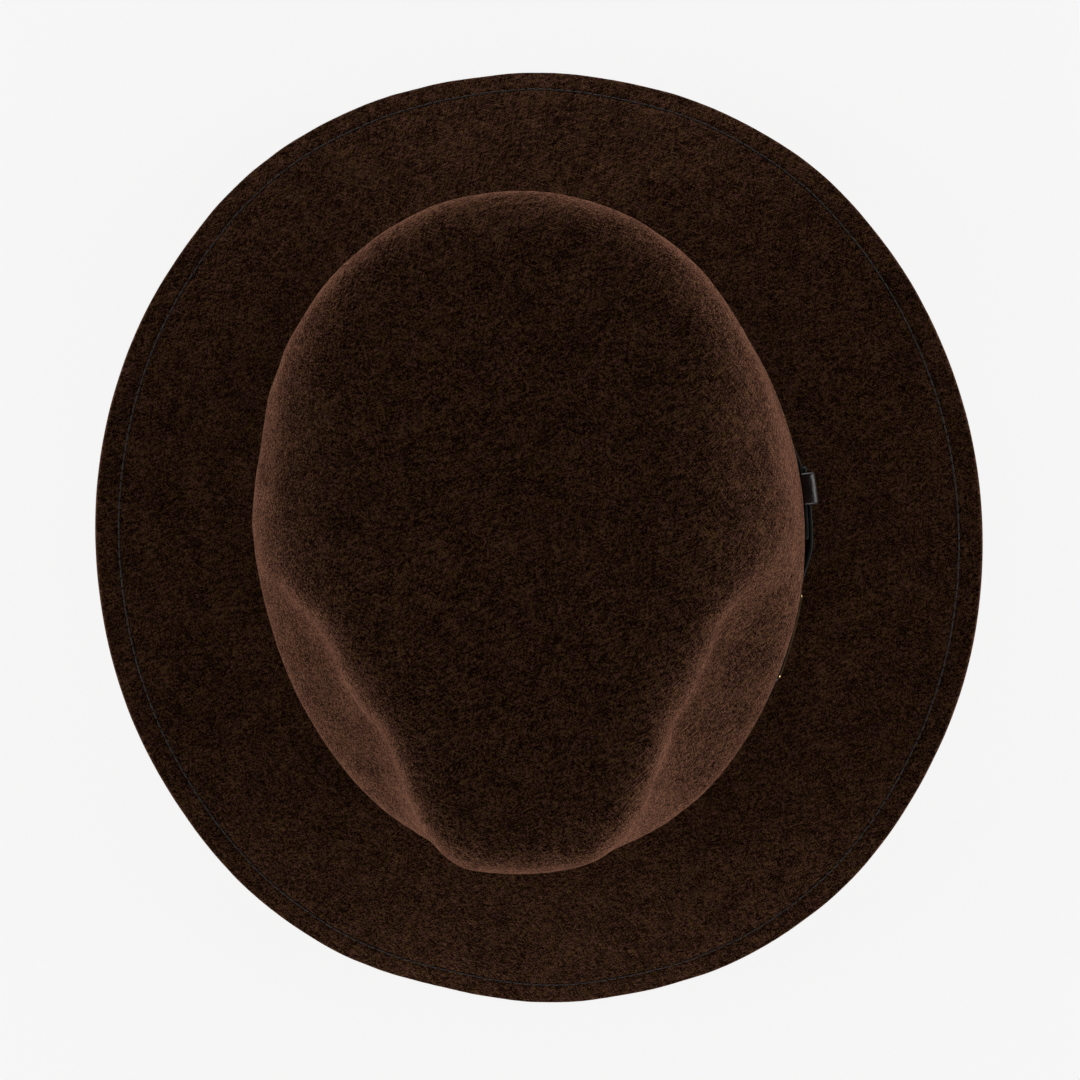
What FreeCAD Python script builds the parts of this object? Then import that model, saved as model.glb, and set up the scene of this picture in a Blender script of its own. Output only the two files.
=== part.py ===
"""A soft-felt hat with a pinched front, a leather band with a sliding keeper, a sweatband and a lining.

Millimetres. +Z is up, +Y is the back of the hat and +X is the wearer's left. The hat rests on the
front and back of its brim at Z = 0, and the origin is under the middle of its bounding box.
Heights called "rise" are measured up from the brim break, where the crown meets the brim.
"""

import FreeCAD, Part
import math
import os

import Sketcher

Vector = FreeCAD.Vector
Rotation = FreeCAD.Rotation
Placement = FreeCAD.Placement
UP = Vector(0, 0, 1)

SIZES = {
    # The head opening: a four-arc oval, measured outside the felt at the brim break.
    "oval_half_width": 85.5,
    "oval_half_length": 103.5,
    "oval_side_radius": 120.0,
    # Felt
    "felt_thickness": 2.2,
    "break_height": 24.04,
    "break_radius": 5.0,
    "crown_height": 102.0,
    "crown_front_lift": 2.0,
    "crown_centre_back": 6.4,
    "crown_lean": 4.4,
    "crown_lean_start": 41.0,
    "crown_lean_reach": 32.0,
    "wall_height": 30.0,
    "side_fullness": 3.6,
    "end_fullness": 8.8,
    "pinch_softness": 0.6,
    "pinch_depth_share": 0.235,
    "pinch_start_rise": 46.0,
    "pinch_end_rise": 85.0,
    "dent_depth": 5.0,
    "dent_reach": 0.72,
    # Brim
    "brim_cut": 58.9,
    "brim_side_fullness": 2.7,
    "brim_quarter_fullness": 0.6,
    "brim_skew": 0.9,
    "brim_dip": 20.0,
    "brim_side_lift": 3.0,
    "edge_thickness": 4.5,
    "edge_fold_width": 8.0,
    "edge_stitch_inset": 6.8,
    "thread_diameter": 0.5,
    # Hat band
    "band_thickness": 1.2,
    "band_width": 19.0,
    "band_rise": 6.5,
    "band_gap": 0.1,
    "band_raise": 1.5,
    "band_under_end_angle": -2.0,
    "band_tip_angle": 9.0,
    "layer_gap": 0.1,
    # Keeper
    "keeper_angle": 5.6,
    "keeper_span_angle": 4.8,
    "keeper_inner_leaf": 0.9,
    "keeper_outer_leaf": 1.6,
    "keeper_clearance": 0.3,
    "keeper_corner_radius": 1.4,
    # Plate
    "plate_angle": -17.1,
    "plate_span_angle": 13.3,
    "plate_width": 9.0,
    "plate_thickness": 0.5,
    "plate_corner_radius": 1.5,
    "backing_thickness": 0.6,
    "backing_margin": 1.5,
    "rivet_diameter": 1.6,
    "rivet_pitch": 20.0,
    "rivet_head_diameter": 3.2,
    "rivet_head_height": 0.35,
    # Tacks that hold the band
    "tack_length": 2.2,
    # Sweatband
    "sweatband_inset": 3.1,
    "sweatband_thickness": 0.9,
    "sweatband_width": 35.0,
    "sweatband_rise": 1.0,
    "sweatband_joint": 0.8,
    "reed_diameter": 1.6,
    "reed_rise": -0.4,
    "tape_thickness": 0.35,
    "stitch_rise": 3.0,
    "stitch_diameter": 0.4,
    "seam_tape_width": 14.0,
    "seam_tape_thickness": 0.3,
    "seam_tape_inset": 2.75,
    # Bow on the sweatband
    "bow_width": 24.0,
    "bow_loop_height": 9.0,
    "bow_knot_width": 4.0,
    "bow_knot_height": 4.5,
    "bow_thickness": 1.4,
    "bow_rise": 13.0,
    # Lining
    "lining_gap": 0.14,
    "lining_thickness": 0.22,
    "lining_cord_diameter": 0.9,
    # Labels
    "size_label_width": 16.0,
    "size_label_height": 8.0,
    "size_label_angle": 62.0,
    "care_label_width": 26.0,
    "care_label_height": 22.0,
    "care_label_angle": 118.0,
    "label_thickness": 0.2,
}

AROUND = 96  # control points round the hat
CROWN_ROWS = 40
BRIM_ROWS = 9

document = FreeCAD.newDocument("felt_hat")
sheet = document.addObject("Spreadsheet::Sheet", "sizes")
for row, (alias, value) in enumerate(SIZES.items(), start=1):
    sheet.set(f"A{row}", alias)
    sheet.set(f"B{row}", str(value))
    sheet.setAlias(f"B{row}", alias)
document.recompute()
sub_parts = []


def size(alias):
    """A driving size, read back from the sheet."""
    return float(sheet.get(alias))


# ---------------------------------------------------------------- the head oval

SIDE_RADIUS = size("oval_side_radius")
SIDE_CENTRE = SIDE_RADIUS - size("oval_half_width")
END_RADIUS = (SIDE_RADIUS**2 - SIDE_CENTRE**2 - size("oval_half_length") ** 2) / (
    2 * (SIDE_RADIUS - size("oval_half_length"))
)
END_CENTRE = size("oval_half_length") - END_RADIUS
JOIN_ANGLE = math.atan2(END_CENTRE, SIDE_CENTRE)
BREAK = size("break_height")

END_RADIUS_CELLS = (
    "((sizes.oval_side_radius ^ 2 - (sizes.oval_side_radius - sizes.oval_half_width) ^ 2"
    " - sizes.oval_half_length ^ 2) / (2 * (sizes.oval_side_radius - sizes.oval_half_length)))"
)
SIDE_CENTRE_CELLS = "(sizes.oval_side_radius - sizes.oval_half_width)"
END_CENTRE_CELLS = f"(sizes.oval_half_length - {END_RADIUS_CELLS})"


def outward(angle):
    """The direction square to the oval where its normal is at this angle."""
    return Vector(math.cos(angle), math.sin(angle), 0)


def oval_point(angle, outset=0.0):
    """The point of the oval, grown by outset, whose normal is at this angle."""
    lean = math.asin(max(-1.0, min(1.0, math.sin(angle))))
    if abs(lean) <= JOIN_ANGLE:
        side = 1 if math.cos(angle) > 0 else -1
        return Vector(-side * SIDE_CENTRE, 0, 0) + outward(angle) * (SIDE_RADIUS + outset)
    end = 1 if lean > 0 else -1
    return Vector(0, end * END_CENTRE, 0) + outward(angle) * (END_RADIUS + outset)


def smooth(value, start, end):
    """0 before start, 1 after end, and an S curve between them."""
    share = max(0.0, min(1.0, (value - start) / (end - start)))
    return share * share * (3 - 2 * share)


# ---------------------------------------------------------------- the felt skin


def angle_from_front(point):
    """Degrees round the hat from the middle of the front, 0 to 180."""
    return abs(math.degrees(math.atan2(point.x, -point.y)))


def pinch_share(front_angle):
    """0 where the crown keeps its shape and 1 where the pinch is deepest."""
    rising = smooth(front_angle, 10, 39)
    falling = 1 - smooth(front_angle, 59, 94)
    return rising * falling


def fullness(front_angle):
    """How square the crown's shoulder is: high at both ends, low at the sides."""
    soft = size("side_fullness")
    firm = size("end_fullness")
    side_share = smooth(front_angle, 57, 91) * (1 - smooth(front_angle, 105, 158))
    return firm + (soft - firm) * side_share - size("pinch_softness") * pinch_share(front_angle)


def crown_section(angle):
    """The outer line of the crown from its top to the straight wall, as evenly spaced points."""
    base = oval_point(angle)
    front_angle = angle_from_front(base)
    power = 2 / fullness(front_angle)
    centre = Vector(0, size("crown_centre_back"), 0)
    wall = size("wall_height")
    lift = size("crown_front_lift") * (1 - smooth(front_angle, 20, 110))
    shoulder = size("crown_height") - wall
    samples = 400
    dense = []
    for i in range(samples + 1):
        turn = math.pi / 2 * (1 - i / samples)
        reach = math.cos(turn) ** power if i else 0.0
        rise = wall + (shoulder + lift * reach) * math.sin(turn) ** power
        hollow = size("pinch_depth_share") * pinch_share(front_angle) * smooth(reach, 0.0, 0.7)
        hollow *= smooth(rise, size("pinch_start_rise"), size("pinch_end_rise"))
        rim = centre + (base - centre) * (1 - hollow)
        place = centre + (rim - centre) * reach
        above = max(rise - size("crown_lean_start"), 0.0)
        place.x -= size("crown_lean") * (1 - math.exp(-above / size("crown_lean_reach")))
        dish = size("dent_depth") * (1 - smooth(reach, 0.1, size("dent_reach")))
        dense.append(Vector(place.x, place.y, rise - dish))
    return evenly_spaced(dense, CROWN_ROWS)


def evenly_spaced(line, count):
    """count points at equal steps along a dense line, its two ends included."""
    along = [0.0]
    for a, b in zip(line, line[1:]):
        along.append(along[-1] + a.distanceToPoint(b))
    points = []
    i = 0
    for k in range(count):
        target = along[-1] * k / (count - 1)
        while i < len(line) - 2 and along[i + 1] < target:
            i += 1
        share = (target - along[i]) / max(along[i + 1] - along[i], 1e-9)
        points.append(line[i] + (line[i + 1] - line[i]) * share)
    return points


def brim_droop(angle):
    """0 at the sides of the brim and 1 at its front and back."""
    steep = math.sin(angle) ** 2
    return steep * (1.35 - 0.35 * steep)


def brim_reach(angle):
    """The horizontal distance from the break to the brim's edge."""
    cut = size("brim_cut") + size("brim_side_fullness") * math.cos(angle) ** 2
    cut += size("brim_quarter_fullness") * math.sin(2 * angle) ** 2
    cut -= size("brim_skew") * math.sin(2 * angle)
    drop = size("brim_dip") * brim_droop(angle)
    return math.sqrt(cut**2 - drop**2)


def brim_point(angle, share):
    """A point of the brim's upper face, share 0 at the break and 1 at the edge."""
    droop = brim_droop(angle)
    rise = size("brim_side_lift") * (1 - droop) * share**2 - size("brim_dip") * droop * share**1.4
    place = oval_point(angle, brim_reach(angle) * share)
    return Vector(place.x, place.y, rise)


def felt_section(angle):
    """The upper line of the felt from the top of the crown to the brim's edge."""
    points = crown_section(angle)
    radius = size("break_radius")
    for rise in (24.0, 18.0, 13.0, 9.0, 7.0, radius):
        place = oval_point(angle)
        points.append(Vector(place.x, place.y, rise))
    for degrees in (22.5, 45.0, 67.5, 90.0):
        turn = math.radians(degrees)
        flare = radius * (1 - math.cos(turn))
        on_brim = brim_point(angle, flare / brim_reach(angle))
        place = oval_point(angle, flare)
        points.append(Vector(place.x, place.y, on_brim.z + radius * (1 - math.sin(turn))))
    first = radius / brim_reach(angle)
    for k in range(1, BRIM_ROWS + 1):
        points.append(brim_point(angle, first + (1 - first) * k / BRIM_ROWS))
    return [Vector(p.x, p.y, p.z + BREAK) for p in points]


def felt_rows():
    """The felt's upper skin as rows of points, each row once round the hat."""
    sections = [felt_section(2 * math.pi * i / AROUND) for i in range(AROUND)]
    return [[section[j] for section in sections] for j in range(len(sections[0]))]


def normals(rows):
    """The outward normal at each point of a skin's rows."""
    result = []
    for j, row in enumerate(rows):
        before = rows[max(j - 1, 0)]
        after = rows[min(j + 1, len(rows) - 1)]
        line = []
        for i in range(len(row)):
            round_hat = row[(i + 1) % len(row)] - row[i - 1]
            down_hat = after[i] - before[i]
            normal = down_hat.cross(round_hat)
            line.append(UP if normal.Length < 1e-6 or j == 0 else normal.normalize())
        result.append(line)
    return result


def offset_rows(rows, facing, distance):
    return [
        [p + n * distance for p, n in zip(row, line)] for row, line in zip(rows, facing)
    ]


def skin_face(rows, tube=False):
    """A smooth face over rows of control points, each row closed round the hat.

    The rows of a tube close on themselves as well.
    """
    poles = [[row[i] for row in rows] for i in range(AROUND)]
    degree = min(3, len(rows) - 1)
    around_knots = [float(k) for k in range(AROUND + 1)]
    spans = len(rows) if tube else len(rows) - degree
    end_mult = 1 if tube else degree + 1
    surface = Part.BSplineSurface()
    surface.buildFromPolesMultsKnots(
        poles,
        [1] * (AROUND + 1),
        [end_mult] + [1] * (spans - 1) + [end_mult],
        around_knots,
        [float(k) for k in range(spans + 1)],
        True,
        tube,
        3,
        degree,
    )
    return surface.toShape()


def closed_solid(strips):
    """One solid from strips of rows, each strip starting on the row where the last one ended."""
    shell = Part.makeShell([skin_face(rows) for rows in strips])
    shell.sewShape()
    solid = Part.Solid(shell)
    if solid.Volume < 0:
        solid.reverse()
    return solid


def layer_between(outer, inner, capped):
    """The solid between two skins. A capped one closes at the top of the crown."""
    foot = [outer[-1], inner[-1]]
    strips = [outer, foot, inner[::-1]]
    if not capped:
        strips.append([inner[0], outer[0]])
    return closed_solid(strips)


def round_thread(middle, facing, along, diameter):
    """A closed thread of round section along one row of points."""
    sides = 8
    radius = diameter / 2
    rows = []
    for k in range(sides):
        turn = 2 * math.pi * k / sides
        rows.append(
            [
                p + n * (radius * math.cos(turn)) + d * (radius * math.sin(turn))
                for p, n, d in zip(middle, facing, along)
            ]
        )
    thread = Part.Solid(Part.Shell([skin_face(rows, tube=True)]))
    if thread.Volume < 0:
        thread.reverse()
    return thread


def add_feature(label, shape):
    """A sub-part whose shape is made by the functions above."""
    feature = document.addObject("Part::Feature", label)
    feature.Label = label
    feature.Shape = shape
    feature.Placement = Placement()
    sub_parts.append(feature)
    return feature


# ---------------------------------------------------------------- felt, its stitching and lining

UPPER = felt_rows()
UPPER_NORMALS = normals(UPPER)


def felt_body():
    felt = size("felt_thickness")
    edge = size("edge_thickness")
    lower = offset_rows(UPPER, UPPER_NORMALS, -felt)
    edge_row = UPPER[-1]
    edge_normals = UPPER_NORMALS[-1]
    outward_row = []
    for i in range(AROUND):
        run = edge_row[i] - UPPER[-2][i]
        outward_row.append(run.normalize())

    def rim(out, down):
        return [
            p + o * out - n * down for p, o, n in zip(edge_row, outward_row, edge_normals)
        ]

    roll = edge / 2
    roll_rows = [rim(0, 0)]
    for degrees in (20, 45, 70, 90, 110, 135, 160):
        turn = math.radians(degrees)
        roll_rows.append(rim(0.55 * roll * math.sin(turn), roll * (1 - math.cos(turn))))
    roll_rows.append(rim(0, edge))
    fold = size("edge_fold_width")
    fold_rows = [rim(-fold * k / 4, edge) for k in range(5)]
    step_foot = rim(-fold, edge)
    step_top = rim(-fold, felt)
    inner = []
    for row, source in zip(lower, UPPER):
        clear = min((row[i] - step_top[i]).dot(outward_row[i]) for i in range(0, AROUND, 8))
        if source is edge_row or clear > -1.0:
            break
        inner.append(row)
    inner.append(step_top)
    strips = [UPPER, roll_rows, fold_rows, [step_foot, step_top], inner[::-1]]
    return add_feature("felt_body", closed_solid(strips))


def brim_edge_stitching():
    """The needle thread on the upper face and the bobbin thread under the fold."""
    thread = size("thread_diameter")
    inset = size("edge_stitch_inset")
    edge_row = UPPER[-1]
    facing = UPPER_NORMALS[-1]
    inward = [(UPPER[-2][i] - edge_row[i]).normalize() for i in range(AROUND)]
    surface = [p + d * inset for p, d in zip(edge_row, inward)]
    clear = thread / 2 + 0.12
    upper = [p + n * clear for p, n in zip(surface, facing)]
    under = [p - n * (size("edge_thickness") + clear) for p, n in zip(surface, facing)]
    threads = [round_thread(line, facing, inward, thread) for line in (upper, under)]
    return add_feature("brim_edge_stitching", Part.makeCompound(threads))


def lining_skin(first, last, extra):
    """Two skins inside the felt between two of its rows, extra further in."""
    near = -(size("felt_thickness") + size("lining_gap") + extra)
    far = near - size("lining_thickness")
    rows = UPPER[first : last + 1]
    facing = UPPER_NORMALS[first : last + 1]
    return offset_rows(rows, facing, near), offset_rows(rows, facing, far)


SEAM_ROW = 22  # the row of the felt's skin beside the seam between the lining's two pieces
HEM_ROW = CROWN_ROWS - 1


def lining():
    tip_outer, tip_inner = lining_skin(0, SEAM_ROW - 1, 0.0)
    side_outer, side_inner = lining_skin(SEAM_ROW, HEM_ROW, 0.0)
    add_feature("lining_tip", layer_between(tip_outer, tip_inner, True))
    add_feature("lining_side_band", layer_between(side_outer, side_inner, False))
    cord = size("lining_cord_diameter")
    deep = size("felt_thickness") + size("lining_gap") + size("lining_thickness") + cord / 2 + 0.15
    middle = []
    facing = []
    along = []
    for i in range(AROUND):
        normal = (UPPER_NORMALS[SEAM_ROW - 1][i] + UPPER_NORMALS[SEAM_ROW][i]).normalize()
        centre = (UPPER[SEAM_ROW - 1][i] + UPPER[SEAM_ROW][i]) * 0.5
        middle.append(centre - normal * deep)
        facing.append(normal)
        along.append((UPPER[SEAM_ROW - 1][i] - UPPER[SEAM_ROW][i]).normalize())
    add_feature("lining_seam_cord", round_thread(middle, facing, along, cord))


# ---------------------------------------------------------------- hat band


def band_lift(turn):
    """How far the strap's inner face stands off the felt at this angle in degrees.

    The strap starts at its under end, goes once round the hat and ends over its own start.
    """
    snug = size("band_gap")
    raised = size("band_raise")
    over = raised + size("band_thickness") + size("layer_gap")
    if turn < 180:
        return raised + (snug - raised) * smooth(turn, 8.6, 14.0)
    return snug + (over - snug) * smooth(turn, 350.0, 357.6)


def strap_line(extra):
    """The curve of one face of the strap, extra outside its inner face."""
    start = size("band_under_end_angle")
    end = 360 + size("band_tip_angle")
    turns = []
    turn = start
    while turn < end - 0.3:
        turns.append(turn)
        fine = turn < 16 or turn > 348
        turn += 0.6 if fine else 3.0
    turns.append(end)
    points = []
    for turn in turns:
        place = oval_point(math.radians(turn), band_lift(turn) + extra)
        points.append(Vector(place.x, place.y, BREAK + size("band_rise")))
    curve = Part.BSplineCurve()
    curve.interpolate(points)
    return curve.toShape(), points[0], points[-1]


def rivet_axes():
    """The two rivets' places on the oval, each with the direction of both shanks."""
    middle = math.radians(size("plate_angle"))
    direction = outward(middle)
    along = Vector(-direction.y, direction.x, 0)
    height = BREAK + size("band_rise") + size("band_width") / 2
    centre = oval_point(middle) + Vector(0, 0, height)
    half_pitch = size("rivet_pitch") / 2
    return [(centre + along * shift, direction) for shift in (-half_pitch, half_pitch)]


def rivet_head_floor():
    """How far inside the oval point the flat heads end, on the rivets' axes."""
    sag = SIDE_RADIUS - math.sqrt(SIDE_RADIUS**2 - (size("rivet_pitch") / 2) ** 2)
    return size("band_gap") + 0.15 - sag


def hat_band():
    inner, inner_start, inner_end = strap_line(0.0)
    outer, outer_start, outer_end = strap_line(size("band_thickness"))
    ends = [
        Part.makeLine(inner_end, outer_end),
        Part.makeLine(outer_start, inner_start),
    ]
    outline = Part.Wire(Part.__sortEdges__([inner, ends[0], outer, ends[1]]))
    strap = Part.Face(outline).extrude(UP * size("band_width"))
    for centre, direction in rivet_axes():
        floor = rivet_head_floor()
        foot = centre + direction * (floor - 2)
        head = Part.makeCylinder(
            size("rivet_head_diameter") / 2,
            size("rivet_head_height") + 2,
            foot,
            direction,
        )
        shank = Part.makeCylinder(size("rivet_diameter") / 2, 6, foot, direction)
        strap = strap.cut(head.fuse(shank))
    return add_feature("hat_band", strap)


def bind(feature, **cells):
    """Binds sizes of a feature to cells of the sheet."""
    for name, expression in cells.items():
        feature.setExpression(name.replace("__", "."), expression)


def new_body(label, origin, turn_degrees=0.0):
    body = document.addObject("PartDesign::Body", label)
    body.Label = label
    body.Placement = Placement(origin, Rotation(UP, turn_degrees))
    sub_parts.append(body)
    return body


def new_sketch(body, name, role):
    """A sketch on one of its own body's origin planes."""
    plane = next(f for f in body.Origin.OriginFeatures if f.Role == role)
    sketch = body.newObject("Sketcher::SketchObject", name)
    sketch.AttachmentSupport = [(plane, "")]
    sketch.MapMode = "FlatFace"
    return sketch


def driven(sketch, expression, *constraint):
    """Adds a dimension to a sketch and binds it to cells of the sheet."""
    index = sketch.addConstraint(Sketcher.Constraint(*constraint))
    sketch.setExpression(f"Constraints[{index}]", expression)


def rectangle(sketch, left, right, bottom, top, cells):
    """A rectangle whose four sides are measured from the sketch's origin.

    cells holds the expressions of left, right, bottom and top.
    """
    first = sketch.GeometryCount
    corners = [(left, bottom), (right, bottom), (right, top), (left, top)]
    points = [Vector(x, y, 0) for x, y in corners]
    for a, b in zip(points, points[1:] + points[:1]):
        sketch.addGeometry(Part.LineSegment(a, b), False)
    for k in range(4):
        sketch.addConstraint(
            Sketcher.Constraint("Coincident", first + k, 2, first + (k + 1) % 4, 1)
        )
    sketch.addConstraint(Sketcher.Constraint("Horizontal", first))
    sketch.addConstraint(Sketcher.Constraint("Vertical", first + 1))
    sketch.addConstraint(Sketcher.Constraint("Horizontal", first + 2))
    sketch.addConstraint(Sketcher.Constraint("Vertical", first + 3))
    driven(sketch, cells[0], "DistanceX", -1, 1, first, 1, left)
    driven(sketch, cells[1], "DistanceX", -1, 1, first + 1, 1, right)
    driven(sketch, cells[2], "DistanceY", -1, 1, first, 1, bottom)
    driven(sketch, cells[3], "DistanceY", -1, 1, first + 2, 1, top)


def revolve(body, sketch, angle_cells):
    """Turns a sketch about the body's Z axis, equally to both sides of its plane."""
    turned = body.newObject("PartDesign::Revolution", f"{body.Label}_turn")
    turned.Profile = sketch
    turned.ReferenceAxis = (sketch, ["V_Axis"])
    turned.Midplane = True
    turned.setExpression("Angle", angle_cells)
    return turned


def curved_strip(label, side_of_hat, inner_cells, outer_cells, foot_cells, top_cells, angle_cells):
    """A strip that follows one arc of the oval.

    side_of_hat is "side" or "end", and the angle that the strip is centred on, in degrees.
    inner_cells and outer_cells are its faces' distances outside the oval.
    """
    kind, middle = side_of_hat
    if kind == "side":
        centre = Vector(-SIDE_CENTRE, 0, 0)
        radius = SIDE_RADIUS
        radius_cells = "sizes.oval_side_radius"
    else:
        centre = Vector(0, END_CENTRE, 0)
        radius = END_RADIUS
        radius_cells = END_RADIUS_CELLS
    body = new_body(label, centre, middle)
    sketch = new_sketch(body, f"{label}_section", "XZ_Plane")
    cells = (
        f"{radius_cells} + {inner_cells}",
        f"{radius_cells} + {outer_cells}",
        foot_cells,
        top_cells,
    )
    rectangle(sketch, radius + 1, radius + 2, BREAK + 5, BREAK + 15, cells)
    revolve(body, sketch, angle_cells)
    document.recompute()
    return body


def round_corners(body, radius_cells, chosen):
    """Rounds the edges of a body's last feature that chosen(edge) picks."""
    base = body.Tip
    names = [f"Edge{k}" for k, edge in enumerate(base.Shape.Edges, start=1) if chosen(edge)]
    fillet = body.newObject("PartDesign::Fillet", f"{body.Label}_corners")
    fillet.Base = (base, names)
    fillet.setExpression("Radius", radius_cells)
    document.recompute()


BAND_FOOT = "sizes.break_height + sizes.band_rise"
BAND_MIDDLE = f"{BAND_FOOT} + sizes.band_width / 2"
PLATE_FOOT = f"{BAND_MIDDLE} - sizes.plate_width / 2"
PLATE_TOP = f"{BAND_MIDDLE} + sizes.plate_width / 2"
BAND_FACE = "sizes.band_gap + sizes.band_thickness + 0.05"
BACKING_FACE = f"{BAND_FACE} + sizes.backing_thickness"
PLATE_UNDERSIDE = f"{BACKING_FACE} + 0.05"


def runs_outward(edge):
    """Whether a straight edge goes through a strip's thickness."""
    if edge.Curve.TypeId != "Part::GeomLine":
        return False
    return abs(edge.Vertexes[0].Z - edge.Vertexes[-1].Z) < 0.01


def rivet_holes(body):
    """Cuts the two rivets' holes through a strip, along the strip's own X axis."""
    sketch = new_sketch(body, f"{body.Label}_holes", "YZ_Plane")
    height = BREAK + size("band_rise") + size("band_width") / 2
    for side in (-1, 1):
        centre = Vector(side * size("rivet_pitch") / 2, height, 0)
        circle = sketch.addGeometry(Part.Circle(centre, UP, size("rivet_diameter") / 2), False)
        driven(sketch, "sizes.rivet_diameter", "Diameter", circle, size("rivet_diameter"))
        driven(sketch, BAND_MIDDLE, "DistanceY", -1, 1, circle, 3, height)
        driven(
            sketch,
            f"{side} * sizes.rivet_pitch / 2",
            "DistanceX",
            -1,
            1,
            circle,
            3,
            centre.x,
        )
    before = body.Shape.Volume
    pocket = body.newObject("PartDesign::Pocket", f"{body.Label}_drilled")
    pocket.Profile = sketch
    pocket.Type = "ThroughAll"
    pocket.Midplane = True
    document.recompute()
    if body.Shape.Volume >= before:
        raise RuntimeError(f"{body.Label}: the rivet holes cut nothing")


def plate():
    """The blank brass plate on its leather backing."""
    place = ("side", size("plate_angle"))
    backing = curved_strip(
        "plate_backing",
        place,
        BAND_FACE,
        BACKING_FACE,
        f"{PLATE_FOOT} - sizes.backing_margin",
        f"{PLATE_TOP} + sizes.backing_margin",
        "sizes.plate_span_angle + 2 * sizes.backing_margin / 2.1",
    )
    round_corners(backing, "sizes.plate_corner_radius + 0.5", runs_outward)
    rivet_holes(backing)
    brass = curved_strip(
        "brass_plate",
        place,
        PLATE_UNDERSIDE,
        f"{PLATE_UNDERSIDE} + sizes.plate_thickness",
        PLATE_FOOT,
        PLATE_TOP,
        "sizes.plate_span_angle",
    )
    round_corners(brass, "sizes.plate_corner_radius", runs_outward)
    rivet_holes(brass)


def plate_rivets():
    """Two rivets from the plate's face to flat heads let into the back of the band."""
    rivets = []
    for number, (centre, direction) in enumerate(rivet_axes(), start=1):
        floor = rivet_head_floor()
        turn = Rotation(UP, direction)
        shank = document.addObject("Part::Cylinder", f"rivet_shank_{number}")
        bind(shank, Radius="sizes.rivet_diameter / 2")
        bind(
            shank,
            Height="sizes.band_thickness + sizes.backing_thickness + sizes.plate_thickness + 0.1",
        )
        shank.Placement = Placement(centre + direction * floor, turn)
        head = document.addObject("Part::Cylinder", f"rivet_head_{number}")
        bind(head, Radius="sizes.rivet_head_diameter / 2", Height="sizes.rivet_head_height")
        head.Placement = Placement(centre + direction * floor, turn)
        whole = document.addObject("Part::MultiFuse", f"rivet_{number}")
        whole.Shapes = [shank, head]
        rivets.append(whole)
    group = document.addObject("Part::Compound", "plate_rivets")
    group.Label = "plate_rivets"
    group.Links = rivets
    sub_parts.append(group)


def band_keeper():
    """The leather loop round the strap and its lapped end."""
    body = new_body("band_keeper", Vector(-SIDE_CENTRE, 0, 0), size("keeper_angle"))
    sketch = new_sketch(body, "keeper_section", "XZ_Plane")
    inner_face = "sizes.band_raise - sizes.keeper_clearance"
    outer_face = (
        "sizes.band_raise + 2 * sizes.band_thickness + sizes.layer_gap + sizes.keeper_clearance"
    )
    radius = SIDE_RADIUS
    low = BREAK + size("band_rise")
    high = low + size("band_width")
    hole_cells = (
        f"sizes.oval_side_radius + {inner_face}",
        f"sizes.oval_side_radius + {outer_face}",
        f"{BAND_FOOT} - sizes.keeper_clearance",
        f"{BAND_FOOT} + sizes.band_width + sizes.keeper_clearance",
    )
    leaf_cells = (
        f"{hole_cells[0]} - sizes.keeper_inner_leaf",
        f"{hole_cells[1]} + sizes.keeper_outer_leaf",
        f"{hole_cells[2]} - sizes.keeper_inner_leaf",
        f"{hole_cells[3]} + sizes.keeper_inner_leaf",
    )
    rectangle(sketch, radius + 1.2, radius + 4.3, low - 0.3, high + 0.3, hole_cells)
    rectangle(sketch, radius + 0.3, radius + 5.9, low - 1.2, high + 1.2, leaf_cells)
    revolve(body, sketch, "sizes.keeper_span_angle")
    document.recompute()
    reach = radius + 5.0

    def outer_corner(edge):
        if edge.Curve.TypeId != "Part::GeomCircle":
            return False
        return edge.Curve.Radius > reach

    round_corners(body, "sizes.keeper_corner_radius", outer_corner)


def band_tack_stitches():
    """Short thread tacks from the strap's upper edge to the felt."""
    tacks = []
    top = BREAK + size("band_rise") + size("band_width")
    for number, degrees in enumerate((50, 90, 130, 180, 230, 270, 310), start=1):
        angle = math.radians(degrees)
        foot = oval_point(angle, size("band_gap") + size("band_thickness") + 0.5)
        foot.z = top - 0.4
        lean = (UP * 1.9 - outward(angle) * 0.95).normalize()
        tack = document.addObject("Part::Cylinder", f"tack_{number}")
        bind(tack, Radius="sizes.thread_diameter / 2", Height="sizes.tack_length")
        tack.Placement = Placement(foot, Rotation(UP, lean))
        tacks.append(tack)
    group = document.addObject("Part::Compound", "band_tack_stitches")
    group.Label = "band_tack_stitches"
    group.Links = tacks
    sub_parts.append(group)


# ---------------------------------------------------------------- sweatband and its pieces


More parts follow.
